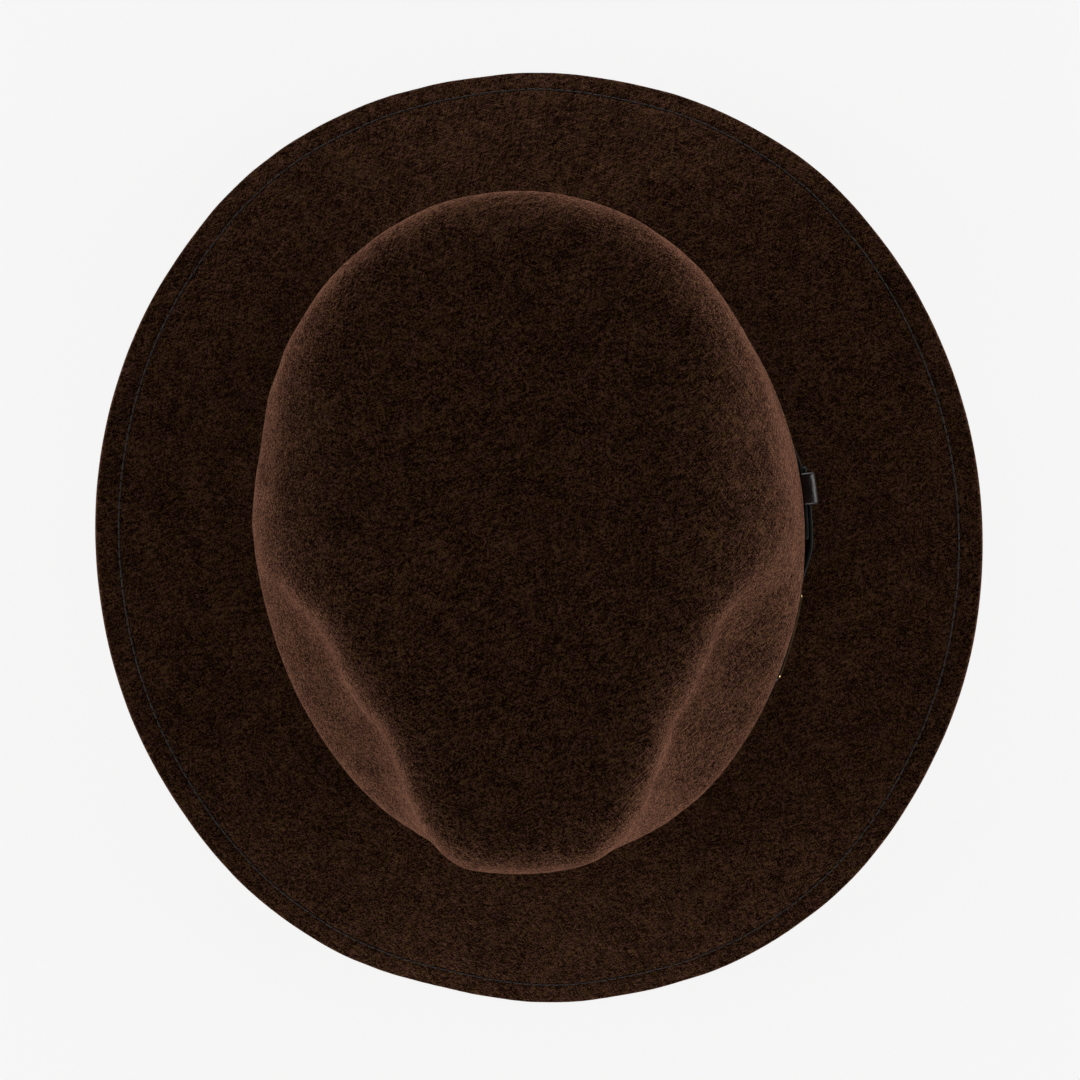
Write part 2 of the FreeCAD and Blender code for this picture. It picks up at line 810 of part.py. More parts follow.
def oval_outline(sketch, outset_cells, outset):
    """A closed four-arc oval, grown by outset, with every arc tangent to the next."""
    first = sketch.GeometryCount
    join = JOIN_ANGLE
    spans = [
        (Vector(-SIDE_CENTRE, 0, 0), SIDE_RADIUS, -join, join),
        (Vector(0, END_CENTRE, 0), END_RADIUS, join, math.pi - join),
        (Vector(SIDE_CENTRE, 0, 0), SIDE_RADIUS, math.pi - join, math.pi + join),
        (Vector(0, -END_CENTRE, 0), END_RADIUS, math.pi + join, 2 * math.pi - join),
    ]
    for centre, radius, start, end in spans:
        circle = Part.Circle(centre, UP, radius + outset)
        sketch.addGeometry(Part.ArcOfCircle(circle, start, end), False)
    right, back, left, front = range(first, first + 4)
    for a, b in ((right, back), (back, left), (left, front), (front, right)):
        sketch.addConstraint(Sketcher.Constraint("Tangent", a, 2, b, 1))
    sketch.addConstraint(Sketcher.Constraint("PointOnObject", right, 3, -1))
    sketch.addConstraint(Sketcher.Constraint("PointOnObject", left, 3, -1))
    sketch.addConstraint(Sketcher.Constraint("Equal", right, left))
    driven(
        sketch,
        f"sizes.oval_side_radius + {outset_cells}",
        "Radius",
        right,
        SIDE_RADIUS + outset,
    )
    driven(sketch, SIDE_CENTRE_CELLS, "DistanceX", right, 3, -1, 1, SIDE_CENTRE)
    driven(sketch, SIDE_CENTRE_CELLS, "DistanceX", -1, 1, left, 3, SIDE_CENTRE)
    driven(sketch, END_CENTRE_CELLS, "DistanceY", -1, 1, back, 3, END_CENTRE)
    driven(sketch, END_CENTRE_CELLS, "DistanceY", front, 3, -1, 1, END_CENTRE)


def sweatband():
    """The leather strip round the head opening, with a narrow joint at the back."""
    foot = BREAK + size("sweatband_rise")
    body = new_body("sweatband", Vector(0, 0, foot))
    sketch = new_sketch(body, "sweatband_plan", "XY_Plane")
    inset = size("sweatband_inset")
    thickness = size("sweatband_thickness")
    oval_outline(sketch, "-sizes.sweatband_inset", -inset)
    oval_outline(sketch, "-sizes.sweatband_inset - sizes.sweatband_thickness", -inset - thickness)
    pad = body.newObject("PartDesign::Pad", "sweatband_pad")
    pad.Profile = sketch
    pad.setExpression("Length", "sizes.sweatband_width")
    document.recompute()
    before = body.Shape.Volume
    joint = new_sketch(body, "sweatband_joint_plan", "XY_Plane")
    back = size("oval_half_length") - inset
    half = size("sweatband_joint") / 2
    cells = (
        "-sizes.sweatband_joint / 2",
        "sizes.sweatband_joint / 2",
        "sizes.oval_half_length - sizes.sweatband_inset - 2 * sizes.sweatband_thickness",
        "sizes.oval_half_length",
    )
    rectangle(joint, -half, half, back - 2, back + 2, cells)
    pocket = body.newObject("PartDesign::Pocket", "sweatband_joint")
    pocket.Profile = joint
    pocket.Type = "ThroughAll"
    pocket.Midplane = True
    document.recompute()
    if body.Shape.Volume >= before:
        raise RuntimeError("the sweatband's joint cut nothing")


def oval_pipe(label, rise, outset_cells, outset, diameter_cells, bore_cells=None):
    """A round ring that follows the oval, hollow if it has a bore."""
    body = new_body(label, Vector(0, 0, BREAK + rise))
    spine = new_sketch(body, f"{label}_path", "XY_Plane")
    oval_outline(spine, outset_cells, outset)
    reach = size("oval_half_width") + outset

    def sweep(kind, cells, diameter):
        section = new_sketch(body, f"{label}_{kind}_section", "XZ_Plane")
        circle = section.addGeometry(Part.Circle(Vector(reach, 0, 0), UP, diameter / 2), False)
        driven(section, cells, "Diameter", circle, diameter)
        section.addConstraint(Sketcher.Constraint("PointOnObject", circle, 3, -1))
        reach_cells = f"sizes.oval_half_width + {outset_cells}"
        driven(section, reach_cells, "DistanceX", -1, 1, circle, 3, reach)
        pipe = body.newObject(f"PartDesign::{kind}Pipe", f"{label}_{kind}")
        pipe.Profile = section
        pipe.Spine = (spine, [])
        document.recompute()

    sweep("Additive", diameter_cells, 2.0)
    if bore_cells:
        solid_volume = body.Shape.Volume
        sweep("Subtractive", bore_cells, 1.5)
        if body.Shape.Volume >= solid_volume:
            raise RuntimeError(f"{label}: the bore cut nothing")


def sweatband_edge():
    """The reed in its tape under the sweatband, and the row of stitches above it."""
    middle = "-sizes.sweatband_inset - sizes.sweatband_thickness / 2"
    outset = -size("sweatband_inset") - size("sweatband_thickness") / 2
    rise = size("reed_rise") - size("tape_thickness")
    tube = "sizes.reed_diameter + 2 * sizes.tape_thickness"
    oval_pipe("sweatband_reed", rise, middle, outset, "sizes.reed_diameter - 0.02")
    oval_pipe("reed_tape", rise, middle, outset, tube, "sizes.reed_diameter")
    face = "-sizes.sweatband_inset - sizes.sweatband_thickness - sizes.stitch_diameter / 2 - 0.02"
    face_outset = (
        -size("sweatband_inset") - size("sweatband_thickness") - size("stitch_diameter") / 2 - 0.02
    )
    oval_pipe(
        "sweatband_stitching",
        size("stitch_rise"),
        face,
        face_outset,
        "sizes.stitch_diameter",
    )


def seam_tape():
    """The strip behind the sweatband's back joint."""
    foot = "sizes.break_height + sizes.sweatband_rise"
    curved_strip(
        "sweatband_seam_tape",
        ("end", 90.0),
        "-sizes.seam_tape_inset - sizes.seam_tape_thickness",
        "-sizes.seam_tape_inset",
        foot,
        f"{foot} + sizes.sweatband_width - 1",
        f"sizes.seam_tape_width / {END_RADIUS_CELLS} * 180 / pi",
    )


def sweatband_bow():
    """The small ribbon bow sewn over the sweatband's joint."""
    inset = size("sweatband_inset") + size("sweatband_thickness") + 1.0
    face = size("oval_half_length") - inset
    body = new_body("sweatband_bow", Vector(0, face, BREAK + size("bow_rise")))
    sketch = new_sketch(body, "bow_outline", "XZ_Plane")
    half_width = size("bow_width") / 2
    half_loop = size("bow_loop_height") / 2
    half_knot = size("bow_knot_width") / 2
    knot_rise = size("bow_knot_height") / 2
    corners = [
        (half_knot, -knot_rise),
        (half_width, -half_loop),
        (half_width, half_loop),
        (half_knot, knot_rise),
        (-half_knot, knot_rise),
        (-half_width, half_loop),
        (-half_width, -half_loop),
        (-half_knot, -knot_rise),
    ]
    widths = {half_knot: "sizes.bow_knot_width / 2", half_width: "sizes.bow_width / 2"}
    heights = {knot_rise: "sizes.bow_knot_height / 2", half_loop: "sizes.bow_loop_height / 2"}
    points = [Vector(x, y, 0) for x, y in corners]
    for a, b in zip(points, points[1:] + points[:1]):
        sketch.addGeometry(Part.LineSegment(a, b), False)
    count = len(points)
    for k in range(count):
        sketch.addConstraint(Sketcher.Constraint("Coincident", k, 2, (k + 1) % count, 1))
    for k, (x, y) in enumerate(corners):
        sign_x = 1 if x > 0 else -1
        sign_y = 1 if y > 0 else -1
        driven(sketch, f"{sign_x} * {widths[abs(x)]}", "DistanceX", -1, 1, k, 1, x)
        driven(sketch, f"{sign_y} * {heights[abs(y)]}", "DistanceY", -1, 1, k, 1, y)
    pad = body.newObject("PartDesign::Pad", "bow_pad")
    pad.Profile = sketch
    pad.setExpression("Length", "sizes.bow_thickness")
    document.recompute()


def labels():
    """A blank paper size label on the sweatband and a blank woven label on the lining."""
    label_gap = "0.05"
    sweat_face = f"-sizes.sweatband_inset - sizes.sweatband_thickness - {label_gap}"
    middle = "sizes.break_height + sizes.sweatband_rise + sizes.sweatband_width / 2"
    curved_strip(
        "size_label",
        ("end", size("size_label_angle")),
        f"{sweat_face} - sizes.label_thickness",
        sweat_face,
        f"{middle} - sizes.size_label_height / 2",
        f"{middle} + sizes.size_label_height / 2",
        f"sizes.size_label_width / {END_RADIUS_CELLS} * 180 / pi",
    )
    lining_face = "-sizes.sweatband_inset - sizes.sweatband_thickness / 2 - 0.6"
    foot = "sizes.break_height + sizes.sweatband_rise + sizes.sweatband_width + 0.5"
    curved_strip(
        "care_label",
        ("end", size("care_label_angle")),
        f"{lining_face} - sizes.label_thickness",
        lining_face,
        foot,
        f"{foot} + sizes.care_label_height",
        f"sizes.care_label_width / {END_RADIUS_CELLS} * 180 / pi",
    )


# ---------------------------------------------------------------- build, check and write

felt_body()
brim_edge_stitching()
lining()
hat_band()
plate()
plate_rivets()
band_keeper()
band_tack_stitches()
sweatband()
sweatband_edge()
seam_tape()
sweatband_bow()
labels()
document.recompute()

for item in document.Objects:
    if {"Invalid", "Error"} & set(item.State):
        raise RuntimeError(f"{item.Label} did not recompute: {item.State}")
for part in sub_parts:
    if part.Shape.isNull() or not part.Shape.isValid():
        raise RuntimeError(f"{part.Label} has no valid shape")

os.makedirs("parts", exist_ok=True)
for part in sub_parts:
    part.Shape.exportStep(f"parts/{part.Label}.step")
    box = part.Shape.BoundBox
    print(
        f"{part.Label}: {len(part.Shape.Solids)} solids, {part.Shape.Volume:.1f} mm3,"
        f" x {box.XMin:.1f} {box.XMax:.1f} y {box.YMin:.1f} {box.YMax:.1f}"
        f" z {box.ZMin:.2f} {box.ZMax:.2f}"
    )
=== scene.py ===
"""A dark brown soft-felt hat with a pinched front, seen from above on a plain pale floor.

Metres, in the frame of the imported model: +Z up, +Y the back of the hat, +X the wearer's left.
Heights called "rise" are measured up from the brim break, where the crown meets the brim.
"""

import math

import bpy
import numpy as np
from mathutils import Matrix, Vector


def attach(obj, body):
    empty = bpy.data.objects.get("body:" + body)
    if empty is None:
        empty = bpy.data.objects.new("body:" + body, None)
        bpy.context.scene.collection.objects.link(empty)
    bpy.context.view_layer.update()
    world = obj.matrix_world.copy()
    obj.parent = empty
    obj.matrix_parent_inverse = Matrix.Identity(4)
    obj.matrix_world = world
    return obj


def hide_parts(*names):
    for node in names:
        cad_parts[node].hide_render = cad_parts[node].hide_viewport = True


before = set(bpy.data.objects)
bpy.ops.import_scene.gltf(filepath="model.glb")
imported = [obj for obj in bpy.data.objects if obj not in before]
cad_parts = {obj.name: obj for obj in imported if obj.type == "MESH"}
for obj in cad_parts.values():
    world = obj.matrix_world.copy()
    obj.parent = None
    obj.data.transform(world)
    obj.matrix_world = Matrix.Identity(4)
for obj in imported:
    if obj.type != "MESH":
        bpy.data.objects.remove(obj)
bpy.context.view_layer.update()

MM = 0.001
FLOOR_GLOW = 0.875
TENT_LOW = 3.3
TENT_HIGH = 0.35

# ---------------------------------------------------------------- sizes, in metres

OVAL_HALF_WIDTH = 85.5 * MM
OVAL_HALF_LENGTH = 103.5 * MM
SIDE_RADIUS = 120.0 * MM
SIDE_CENTRE = SIDE_RADIUS - OVAL_HALF_WIDTH
END_RADIUS = (SIDE_RADIUS**2 - SIDE_CENTRE**2 - OVAL_HALF_LENGTH**2) / (
    2 * (SIDE_RADIUS - OVAL_HALF_LENGTH)
)
END_CENTRE = OVAL_HALF_LENGTH - END_RADIUS
JOIN_ANGLE = math.atan2(END_CENTRE, SIDE_CENTRE)

BREAK = 24.04 * MM
BREAK_RADIUS = 5.0 * MM
FELT = 2.2 * MM
CROWN_HEIGHT = 102.0 * MM
CROWN_FRONT_LIFT = 2.0 * MM
CROWN_CENTRE_BACK = 6.4 * MM
CROWN_LEAN = 4.4 * MM
CROWN_LEAN_START = 41.0 * MM
CROWN_LEAN_REACH = 19.0 * MM
WALL_HEIGHT = 30.0 * MM
SIDE_FULLNESS = 3.6
END_FULLNESS = 8.8
PINCH_SOFTNESS = 0.6
PINCH_SHARE = 0.235
PINCH_START = 46.0 * MM
PINCH_END = 85.0 * MM
DENT_DEPTH = 5.0 * MM
DENT_REACH = 0.72

BRIM_CUT = 58.9 * MM
BRIM_SIDE_FULLNESS = 2.7 * MM
BRIM_QUARTER_FULLNESS = 0.6 * MM
BRIM_SKEW = 0.9 * MM
BRIM_DIP = 20.0 * MM
BRIM_SIDE_LIFT = 3.0 * MM
EDGE_THICKNESS = 4.5 * MM
FOLD_WIDTH = 8.0 * MM
STITCH_INSET = 6.8 * MM
STITCH_PITCH = 3.4 * MM

BAND_THICKNESS = 1.2 * MM
BAND_WIDTH = 19.0 * MM
BAND_RISE = 6.5 * MM
BAND_GAP = 0.1 * MM
BAND_RAISE = 1.5 * MM
BAND_START = -2.0
BAND_END = 369.0
LAYER_GAP = 0.1 * MM

KEEPER_ANGLE = 5.6
KEEPER_SPAN = 4.8
KEEPER_INNER_LEAF = 0.9 * MM
KEEPER_OUTER_LEAF = 1.6 * MM
KEEPER_CLEARANCE = 0.3 * MM
KEEPER_ARCH = 0.9 * MM
KEEPER_ROUNDING = 2.2 * MM

PLATE_ANGLE = -17.1
PLATE_SPAN = 13.3
PLATE_WIDTH = 9.0 * MM
PLATE_THICKNESS = 0.5 * MM
BACKING_THICKNESS = 0.6 * MM
BACKING_MARGIN = 1.5 * MM
RIVET_PITCH = 20.0 * MM
RIVET_RADIUS = 0.8 * MM

SWEATBAND_INSET = 3.1 * MM
SWEATBAND_THICKNESS = 0.9 * MM
SWEATBAND_WIDTH = 35.0 * MM
SWEATBAND_RISE = 1.0 * MM
SWEATBAND_JOINT = 0.8 * MM
REED_RADIUS = 0.8 * MM
TAPE_THICKNESS = 0.35 * MM
REED_RISE = -0.75 * MM

SEAM_TAPE_WIDTH = 14.0 * MM
SEAM_TAPE_LENGTH = SWEATBAND_WIDTH - 1 * MM
SIZE_LABEL_WIDTH = 16.0 * MM
SIZE_LABEL_HEIGHT = 8.0 * MM
SIZE_LABEL_ANGLE = 62
CARE_LABEL_WIDTH = 26.0 * MM
CARE_LABEL_HEIGHT = 22.0 * MM
CARE_LABEL_ANGLE = 118

LINING_GAP = 0.14 * MM
LINING_THICKNESS = 0.22 * MM

# ---------------------------------------------------------------- the hat's shape


def smooth(value, start, end):
    """0 before start, 1 after end, and an S curve between them."""
    share = np.clip((value - start) / (end - start), 0, 1)
    return share * share * (3 - 2 * share)


def outward(angle):
    return np.stack([np.cos(angle), np.sin(angle), np.zeros_like(angle)], axis=-1)


def oval(angle, outset=0.0):
    """The points of the head oval, grown by outset, whose normals are at these angles."""
    angle = np.asarray(angle, float)
    outset = np.broadcast_to(outset, angle.shape)
    lean = np.arcsin(np.clip(np.sin(angle), -1, 1))
    on_side = np.abs(lean) <= JOIN_ANGLE
    side = np.where(np.cos(angle) > 0, -1.0, 1.0) * SIDE_CENTRE
    end = np.where(lean > 0, 1.0, -1.0) * END_CENTRE
    centre = np.stack(
        [np.where(on_side, side, 0), np.where(on_side, 0, end), np.zeros_like(angle)], axis=-1
    )
    radius = np.where(on_side, SIDE_RADIUS, END_RADIUS) + outset
    return centre + outward(angle) * radius[..., None]


def crown_rows(angle, count):
    """Rows of the crown's outer skin from its top down to the straight wall."""
    base = oval(angle)
    front = np.degrees(np.abs(np.arctan2(base[:, 0], -base[:, 1])))
    side_share = smooth(front, 57, 91) * (1 - smooth(front, 105, 158))
    pinch = smooth(front, 10, 39) * (1 - smooth(front, 59, 94))
    fullness = END_FULLNESS + (SIDE_FULLNESS - END_FULLNESS) * side_share - PINCH_SOFTNESS * pinch
    power = 2 / fullness
    lift = CROWN_FRONT_LIFT * (1 - smooth(front, 20, 110))
    centre = np.array([0, CROWN_CENTRE_BACK, 0])
    samples = 1200
    turn = (math.pi / 2 * (1 - np.arange(samples + 1) / samples))[:, None]
    reach = np.cos(turn) ** power
    reach[0] = 0
    rise = WALL_HEIGHT + (CROWN_HEIGHT - WALL_HEIGHT + lift * reach) * np.sin(turn) ** power
    hollow = PINCH_SHARE * pinch * smooth(reach, 0, 0.7) * smooth(rise, PINCH_START, PINCH_END)
    place = centre + (base - centre) * (reach * (1 - hollow))[..., None]
    above = np.maximum(rise - CROWN_LEAN_START, 0.0)
    place[..., 0] -= CROWN_LEAN * (1 - np.exp(-above / CROWN_LEAN_REACH))
    place[..., 2] = rise - DENT_DEPTH * (1 - smooth(reach, 0.1, DENT_REACH))
    steps = np.linalg.norm(np.diff(place, axis=0), axis=-1)
    along = np.concatenate([np.zeros((1, len(angle))), np.cumsum(steps, axis=0)])
    rows = np.empty((count, len(angle), 3))
    for i in range(len(angle)):
        target = np.linspace(0, along[-1, i], count)
        for k in range(3):
            rows[:, i, k] = np.interp(target, along[:, i], place[:, i, k])
    return rows


def brim_droop(angle):
    steep = np.sin(angle) ** 2
    return steep * (1.35 - 0.35 * steep)


def brim_reach(angle):
    cut = BRIM_CUT + BRIM_SIDE_FULLNESS * np.cos(angle) ** 2
    cut = cut + BRIM_QUARTER_FULLNESS * np.sin(2 * angle) ** 2 - BRIM_SKEW * np.sin(2 * angle)
    return np.sqrt(cut**2 - (BRIM_DIP * brim_droop(angle)) ** 2)


def brim_points(angle, share):
    """The brim's upper face, share 0 at the break and 1 at the edge."""
    droop = brim_droop(angle)
    points = oval(angle, brim_reach(angle) * share)
    lift = BRIM_SIDE_LIFT * (1 - droop) * share**2
    points[..., 2] = lift - BRIM_DIP * droop * share**1.4
    return points


def felt_rows(angle, crown_count, wall_count, break_count, brim_count):
    """The felt's upper skin from the top of the crown to the brim's edge, and its normals."""
    rows = list(crown_rows(angle, crown_count))
    for rise in np.linspace(WALL_HEIGHT, BREAK_RADIUS, wall_count + 1)[1:]:
        place = oval(angle)
        place[:, 2] = rise
        rows.append(place)
    for turn in np.linspace(0, math.pi / 2, break_count + 1)[1:]:
        flare = BREAK_RADIUS * (1 - math.cos(turn))
        place = brim_points(angle, flare / brim_reach(angle))
        place[:, 2] += BREAK_RADIUS * (1 - math.sin(turn))
        rows.append(place)
    first = BREAK_RADIUS / brim_reach(angle)
    for k in range(1, brim_count + 1):
        rows.append(brim_points(angle, first + (1 - first) * k / brim_count))
    rows = np.array(rows)
    rows[..., 2] += BREAK
    return rows, skin_normals(rows)


def skin_normals(rows):
    """Outward normals of rows that are closed round the hat and start at one point."""
    round_hat = np.roll(rows, -1, axis=1) - np.roll(rows, 1, axis=1)
    down_hat = np.gradient(rows, axis=0)
    normal = np.cross(down_hat, round_hat)
    normal[0] = (0, 0, 1)
    return normal / np.maximum(np.linalg.norm(normal, axis=-1, keepdims=True), 1e-12)


def ripple(points, wavelength, seed, waves=28):
    """Smooth random bumps of about one wavelength, with a spread of about 1."""
    random = np.random.default_rng(seed)
    direction = random.normal(size=(waves, 3))
    direction /= np.linalg.norm(direction, axis=1, keepdims=True)
    pitch = wavelength * random.uniform(0.75, 1.35, waves)
    phase = random.uniform(0, 2 * math.pi, waves)
    flat = points.reshape(-1, 3)
    total = np.zeros(len(flat))
    for k in range(waves):
        total += np.sin(flat @ direction[k] * (2 * math.pi / pitch[k]) + phase[k])
    return (total * math.sqrt(2 / waves)).reshape(points.shape[:-1])


# ---------------------------------------------------------------- mesh helpers


def new_object(name, points, faces):
    mesh = bpy.data.meshes.new(name)
    mesh.from_pydata([tuple(p) for p in points], [], faces)
    mesh.validate()
    mesh.polygons.foreach_set("use_smooth", [True] * len(mesh.polygons))
    mesh.update()
    obj = bpy.data.objects.new(name, mesh)
    bpy.context.scene.collection.objects.link(obj)
    return obj


def lathe_faces(rows, columns, start=0, close_rows=False, close_columns=True):
    """Quads over rows of columns. Rows run down and columns run round."""
    row_count = rows if close_rows else rows - 1
    column_count = columns if close_columns else columns - 1
    faces = []
    for j in range(row_count):
        for i in range(column_count):
            a = start + j * columns + i
            b = start + j * columns + (i + 1) % columns
            c = start + ((j + 1) % rows) * columns + (i + 1) % columns
            d = start + ((j + 1) % rows) * columns + i
            faces.append((a, d, c, b))
    return faces


def capped_skin(name, rows):
    """A closed mesh over rows whose first and last rows are each a single point."""
    columns = rows.shape[1]
    body = rows[1:-1].reshape(-1, 3)
    points = np.vstack([rows[0, :1], body, rows[-1, :1]])
    faces = lathe_faces(len(rows) - 2, columns, start=1)
    last = len(points) - 1
    foot = 1 + (len(rows) - 3) * columns
    for i in range(columns):
        j = (i + 1) % columns
        faces.append((0, 1 + i, 1 + j))
        faces.append((last, foot + j, foot + i))
    return new_object(name, points, faces)


def ring_skin(name, rows):
    """A closed tube that goes once round the hat: its rows close on themselves."""
    faces = lathe_faces(len(rows), rows.shape[1], close_rows=True)
    return new_object(name, rows.reshape(-1, 3), faces)


def swept_profile(name, sections):
    """A closed strip from sections, each a closed outline with the same number of points."""
    count, around = sections.shape[:2]
    faces = lathe_faces(count, around)
    points = sections.reshape(-1, 3)
    first = points[:around].mean(axis=0)
    last = points[-around:].mean(axis=0)
    points = np.vstack([points, first, last])
    foot = (count - 1) * around
    for i in range(around):
        j = (i + 1) % around
        faces.append((len(points) - 2, i, j))
        faces.append((len(points) - 1, foot + j, foot + i))
    return new_object(name, points, faces)


def rounded_box_outline(width, height, radius, corner_steps=4, side_steps=3):
    """Points round a rounded rectangle, centred on its middle."""
    points = []
    corners = [(1, 1, 0), (-1, 1, 90), (-1, -1, 180), (1, -1, 270)]
    for number, (sx, sy, start) in enumerate(corners):
        centre = np.array([sx * (width / 2 - radius), sy * (height / 2 - radius)])
        for k in range(corner_steps + 1):
            turn = math.radians(start + 90 * k / corner_steps)
            points.append(centre + radius * np.array([math.cos(turn), math.sin(turn)]))
        sx2, sy2, start2 = corners[(number + 1) % 4]
        next_centre = np.array([sx2 * (width / 2 - radius), sy2 * (height / 2 - radius)])
        turn = math.radians(start2)
        target = next_centre + radius * np.array([math.cos(turn), math.sin(turn)])
        here = points[-1]
        for k in range(1, side_steps):
            points.append(here + (target - here) * k / side_steps)
    return np.array(points)


def capsules(name, middles, along, facing, length, radius, sides=8, rings=6):
    """Short threads, each a closed rounded rod that bows away from the surface it lies on."""
    turn = np.linspace(0, math.pi, rings + 2)
    x = -np.cos(turn) * length / 2
    fat = np.sin(turn) ** 0.45 * radius
    bow = np.sin(turn) * radius * 0.6
    spin = 2 * math.pi * np.arange(sides) / sides
    side = np.cross(facing, along)
    points = []
    faces = []
    for m, a, f, s in zip(middles, along, facing, side):
        base = len(points)
        points.append(m + a * x[0])
        for k in range(1, rings + 1):
            for t in spin:
                lift = bow[k] + fat[k] * math.sin(t)
                points.append(m + a * x[k] + f * lift + s * (fat[k] * math.cos(t)))
        points.append(m + a * x[-1])
        for i in range(sides):
            j = (i + 1) % sides
            faces.append((base, base + 1 + j, base + 1 + i))
            foot = base + 1 + (rings - 1) * sides
            faces.append((base + 1 + rings * sides, foot + i, foot + j))
            for k in range(rings - 1):
                p = base + 1 + k * sides
                faces.append((p + i, p + j, p + sides + j, p + sides + i))
    return new_object(name, points, faces)


def curved_patch(name, end, middle, span, low, high, inner, thickness, corner, bevel):
    """A strip bent round one arc of the oval, with rounded corners and edges.

    end is "side" or "end"; middle and span are in degrees; inner is its outset from the oval.
    """
    centre = np.array([-SIDE_CENTRE, 0.0]) if end == "side" else np.array([0.0, END_CENTRE])
    radius = (SIDE_RADIUS if end == "side" else END_RADIUS) + inner + thickness / 2
    half_length = math.radians(span) * radius / 2
    heights = (high - low) / 2
    rows = 17
    columns = 41
    points = []
    for j in range(rows):
        level = math.sin(math.pi / 2 * (2 * j / (rows - 1) - 1)) * heights
        over = max(0.0, abs(level) - (heights - corner))
        pull = corner - math.sqrt(max(0.0, corner**2 - over**2))
        for i in range(columns):
            share = math.sin(math.pi / 2 * (2 * i / (columns - 1) - 1))
            turn = math.radians(middle) + share * (half_length - pull) / radius
            x, y = centre + radius * np.array([math.cos(turn), math.sin(turn)])
            points.append((x, y, (low + high) / 2 + level))
    faces = [
        (j * columns + i, j * columns + i + 1, (j + 1) * columns + i + 1, (j + 1) * columns + i)
        for j in range(rows - 1)
        for i in range(columns - 1)
    ]
    obj = new_object(name, points, faces)
    solid = obj.modifiers.new("thickness", "SOLIDIFY")
    solid.thickness = thickness
    solid.offset = 0
    edge = obj.modifiers.new("edge", "BEVEL")
    edge.width = bevel
    edge.segments = 3
    edge.limit_method = "ANGLE"
    edge.angle_limit = math.radians(50)
    return obj


def finish_piece(obj, body, slot, material, *nodes):
    """Rides a piece on its body, gives it its material and hides the nodes it stands for."""
    obj.data.materials.clear()
    obj.data.materials.append(material)
    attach(obj, body)
    if nodes:
        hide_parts(*nodes)


# ---------------------------------------------------------------- material helpers


class Nodes:
    """A material's node tree, with short names for what this script builds."""

    def __init__(self, name):
        self.material = bpy.data.materials.new(name)
        self.material.use_nodes = True
        self.tree = self.material.node_tree
        self.shader = self.tree.nodes["Principled BSDF"]
        self.place = self.add("ShaderNodeTexCoord").outputs["Object"]

    def add(self, kind, **settings):
        node = self.tree.nodes.new(kind)
        for key, value in settings.items():
            setattr(node, key, value)
        return node

    def link(self, source, target):
        self.tree.links.new(source, target)

    def set(self, **values):
        for key, value in values.items():
            self.shader.inputs[key.replace("_", " ")].default_value = value

    def stretched(self, scale, turn=(0, 0, 0)):
        """The material's coordinates turned first and then multiplied by scale."""
        node = self.add("ShaderNodeMapping", vector_type="TEXTURE")
        node.inputs["Scale"].default_value = tuple(1 / factor for factor in scale)
        node.inputs["Rotation"].default_value = turn
        self.link(self.place, node.inputs["Vector"])
        return node.outputs["Vector"]

    def noise(self, scale, detail=2.0, roughness=0.5, source=None):
        node = self.add("ShaderNodeTexNoise")
        node.inputs["Scale"].default_value = scale
        node.inputs["Detail"].default_value = detail
        node.inputs["Roughness"].default_value = roughness
        self.link(source or self.place, node.inputs["Vector"])
        return node.outputs["Fac"]

    def cell_edges(self, scale):
        node = self.add("ShaderNodeTexVoronoi", feature="DISTANCE_TO_EDGE")
        node.inputs["Scale"].default_value = scale
        self.link(self.place, node.inputs["Vector"])
        return node.outputs["Distance"]

    def math(self, kind, a, b):
        node = self.add("ShaderNodeMath", operation=kind)
        for k, value in enumerate((a, b)):
            if isinstance(value, (int, float)):
                node.inputs[k].default_value = value
            else:
                self.link(value, node.inputs[k])
        return node.outputs[0]

    def spread(self, value, low, high, to_low=0.0, to_high=1.0):
        node = self.add("ShaderNodeMapRange", clamp=True)
        for k, number in enumerate((low, high, to_low, to_high), start=1):
            node.inputs[k].default_value = number
        self.link(value, node.inputs[0])
        return node.outputs[0]

    def colours(self, value, *stops):
        node = self.add("ShaderNodeValToRGB")
        ramp = node.color_ramp
        while len(ramp.elements) < len(stops):
            ramp.elements.new(0.5)
        for element, (place, colour) in zip(ramp.elements, stops):
            element.position = place
            element.color = (*colour, 1)
        self.link(value, node.inputs["Fac"])
        return node.outputs["Color"]

    def mix(self, share, a, b):
        node = self.add("ShaderNodeMix", data_type="RGBA")
        self.link(share, node.inputs["Factor"])
        for name, value in (("A", a), ("B", b)):
            socket = next(s for s in node.inputs if s.name == name and s.type == "RGBA")
            if isinstance(value, tuple):
                socket.default_value = (*value, 1)
            else:
                self.link(value, socket)
        return next(s for s in node.outputs if s.type == "RGBA")

    def bump(self, height, distance, strength):
        node = self.add("ShaderNodeBump")
        node.inputs["Distance"].default_value = distance
        node.inputs["Strength"].default_value = strength
        self.link(height, node.inputs["Height"])
        return node.outputs["Normal"]

    def paint(self, colour, roughness=None, normal=None, sheen=None):
        pairs = {
            "Base Color": colour,
            "Roughness": roughness,
            "Normal": normal,
            "Sheen Tint": sheen,
        }
        for name, value in pairs.items():
            if value is not None:
                self.link(value, self.shader.inputs[name])


# ---------------------------------------------------------------- materials


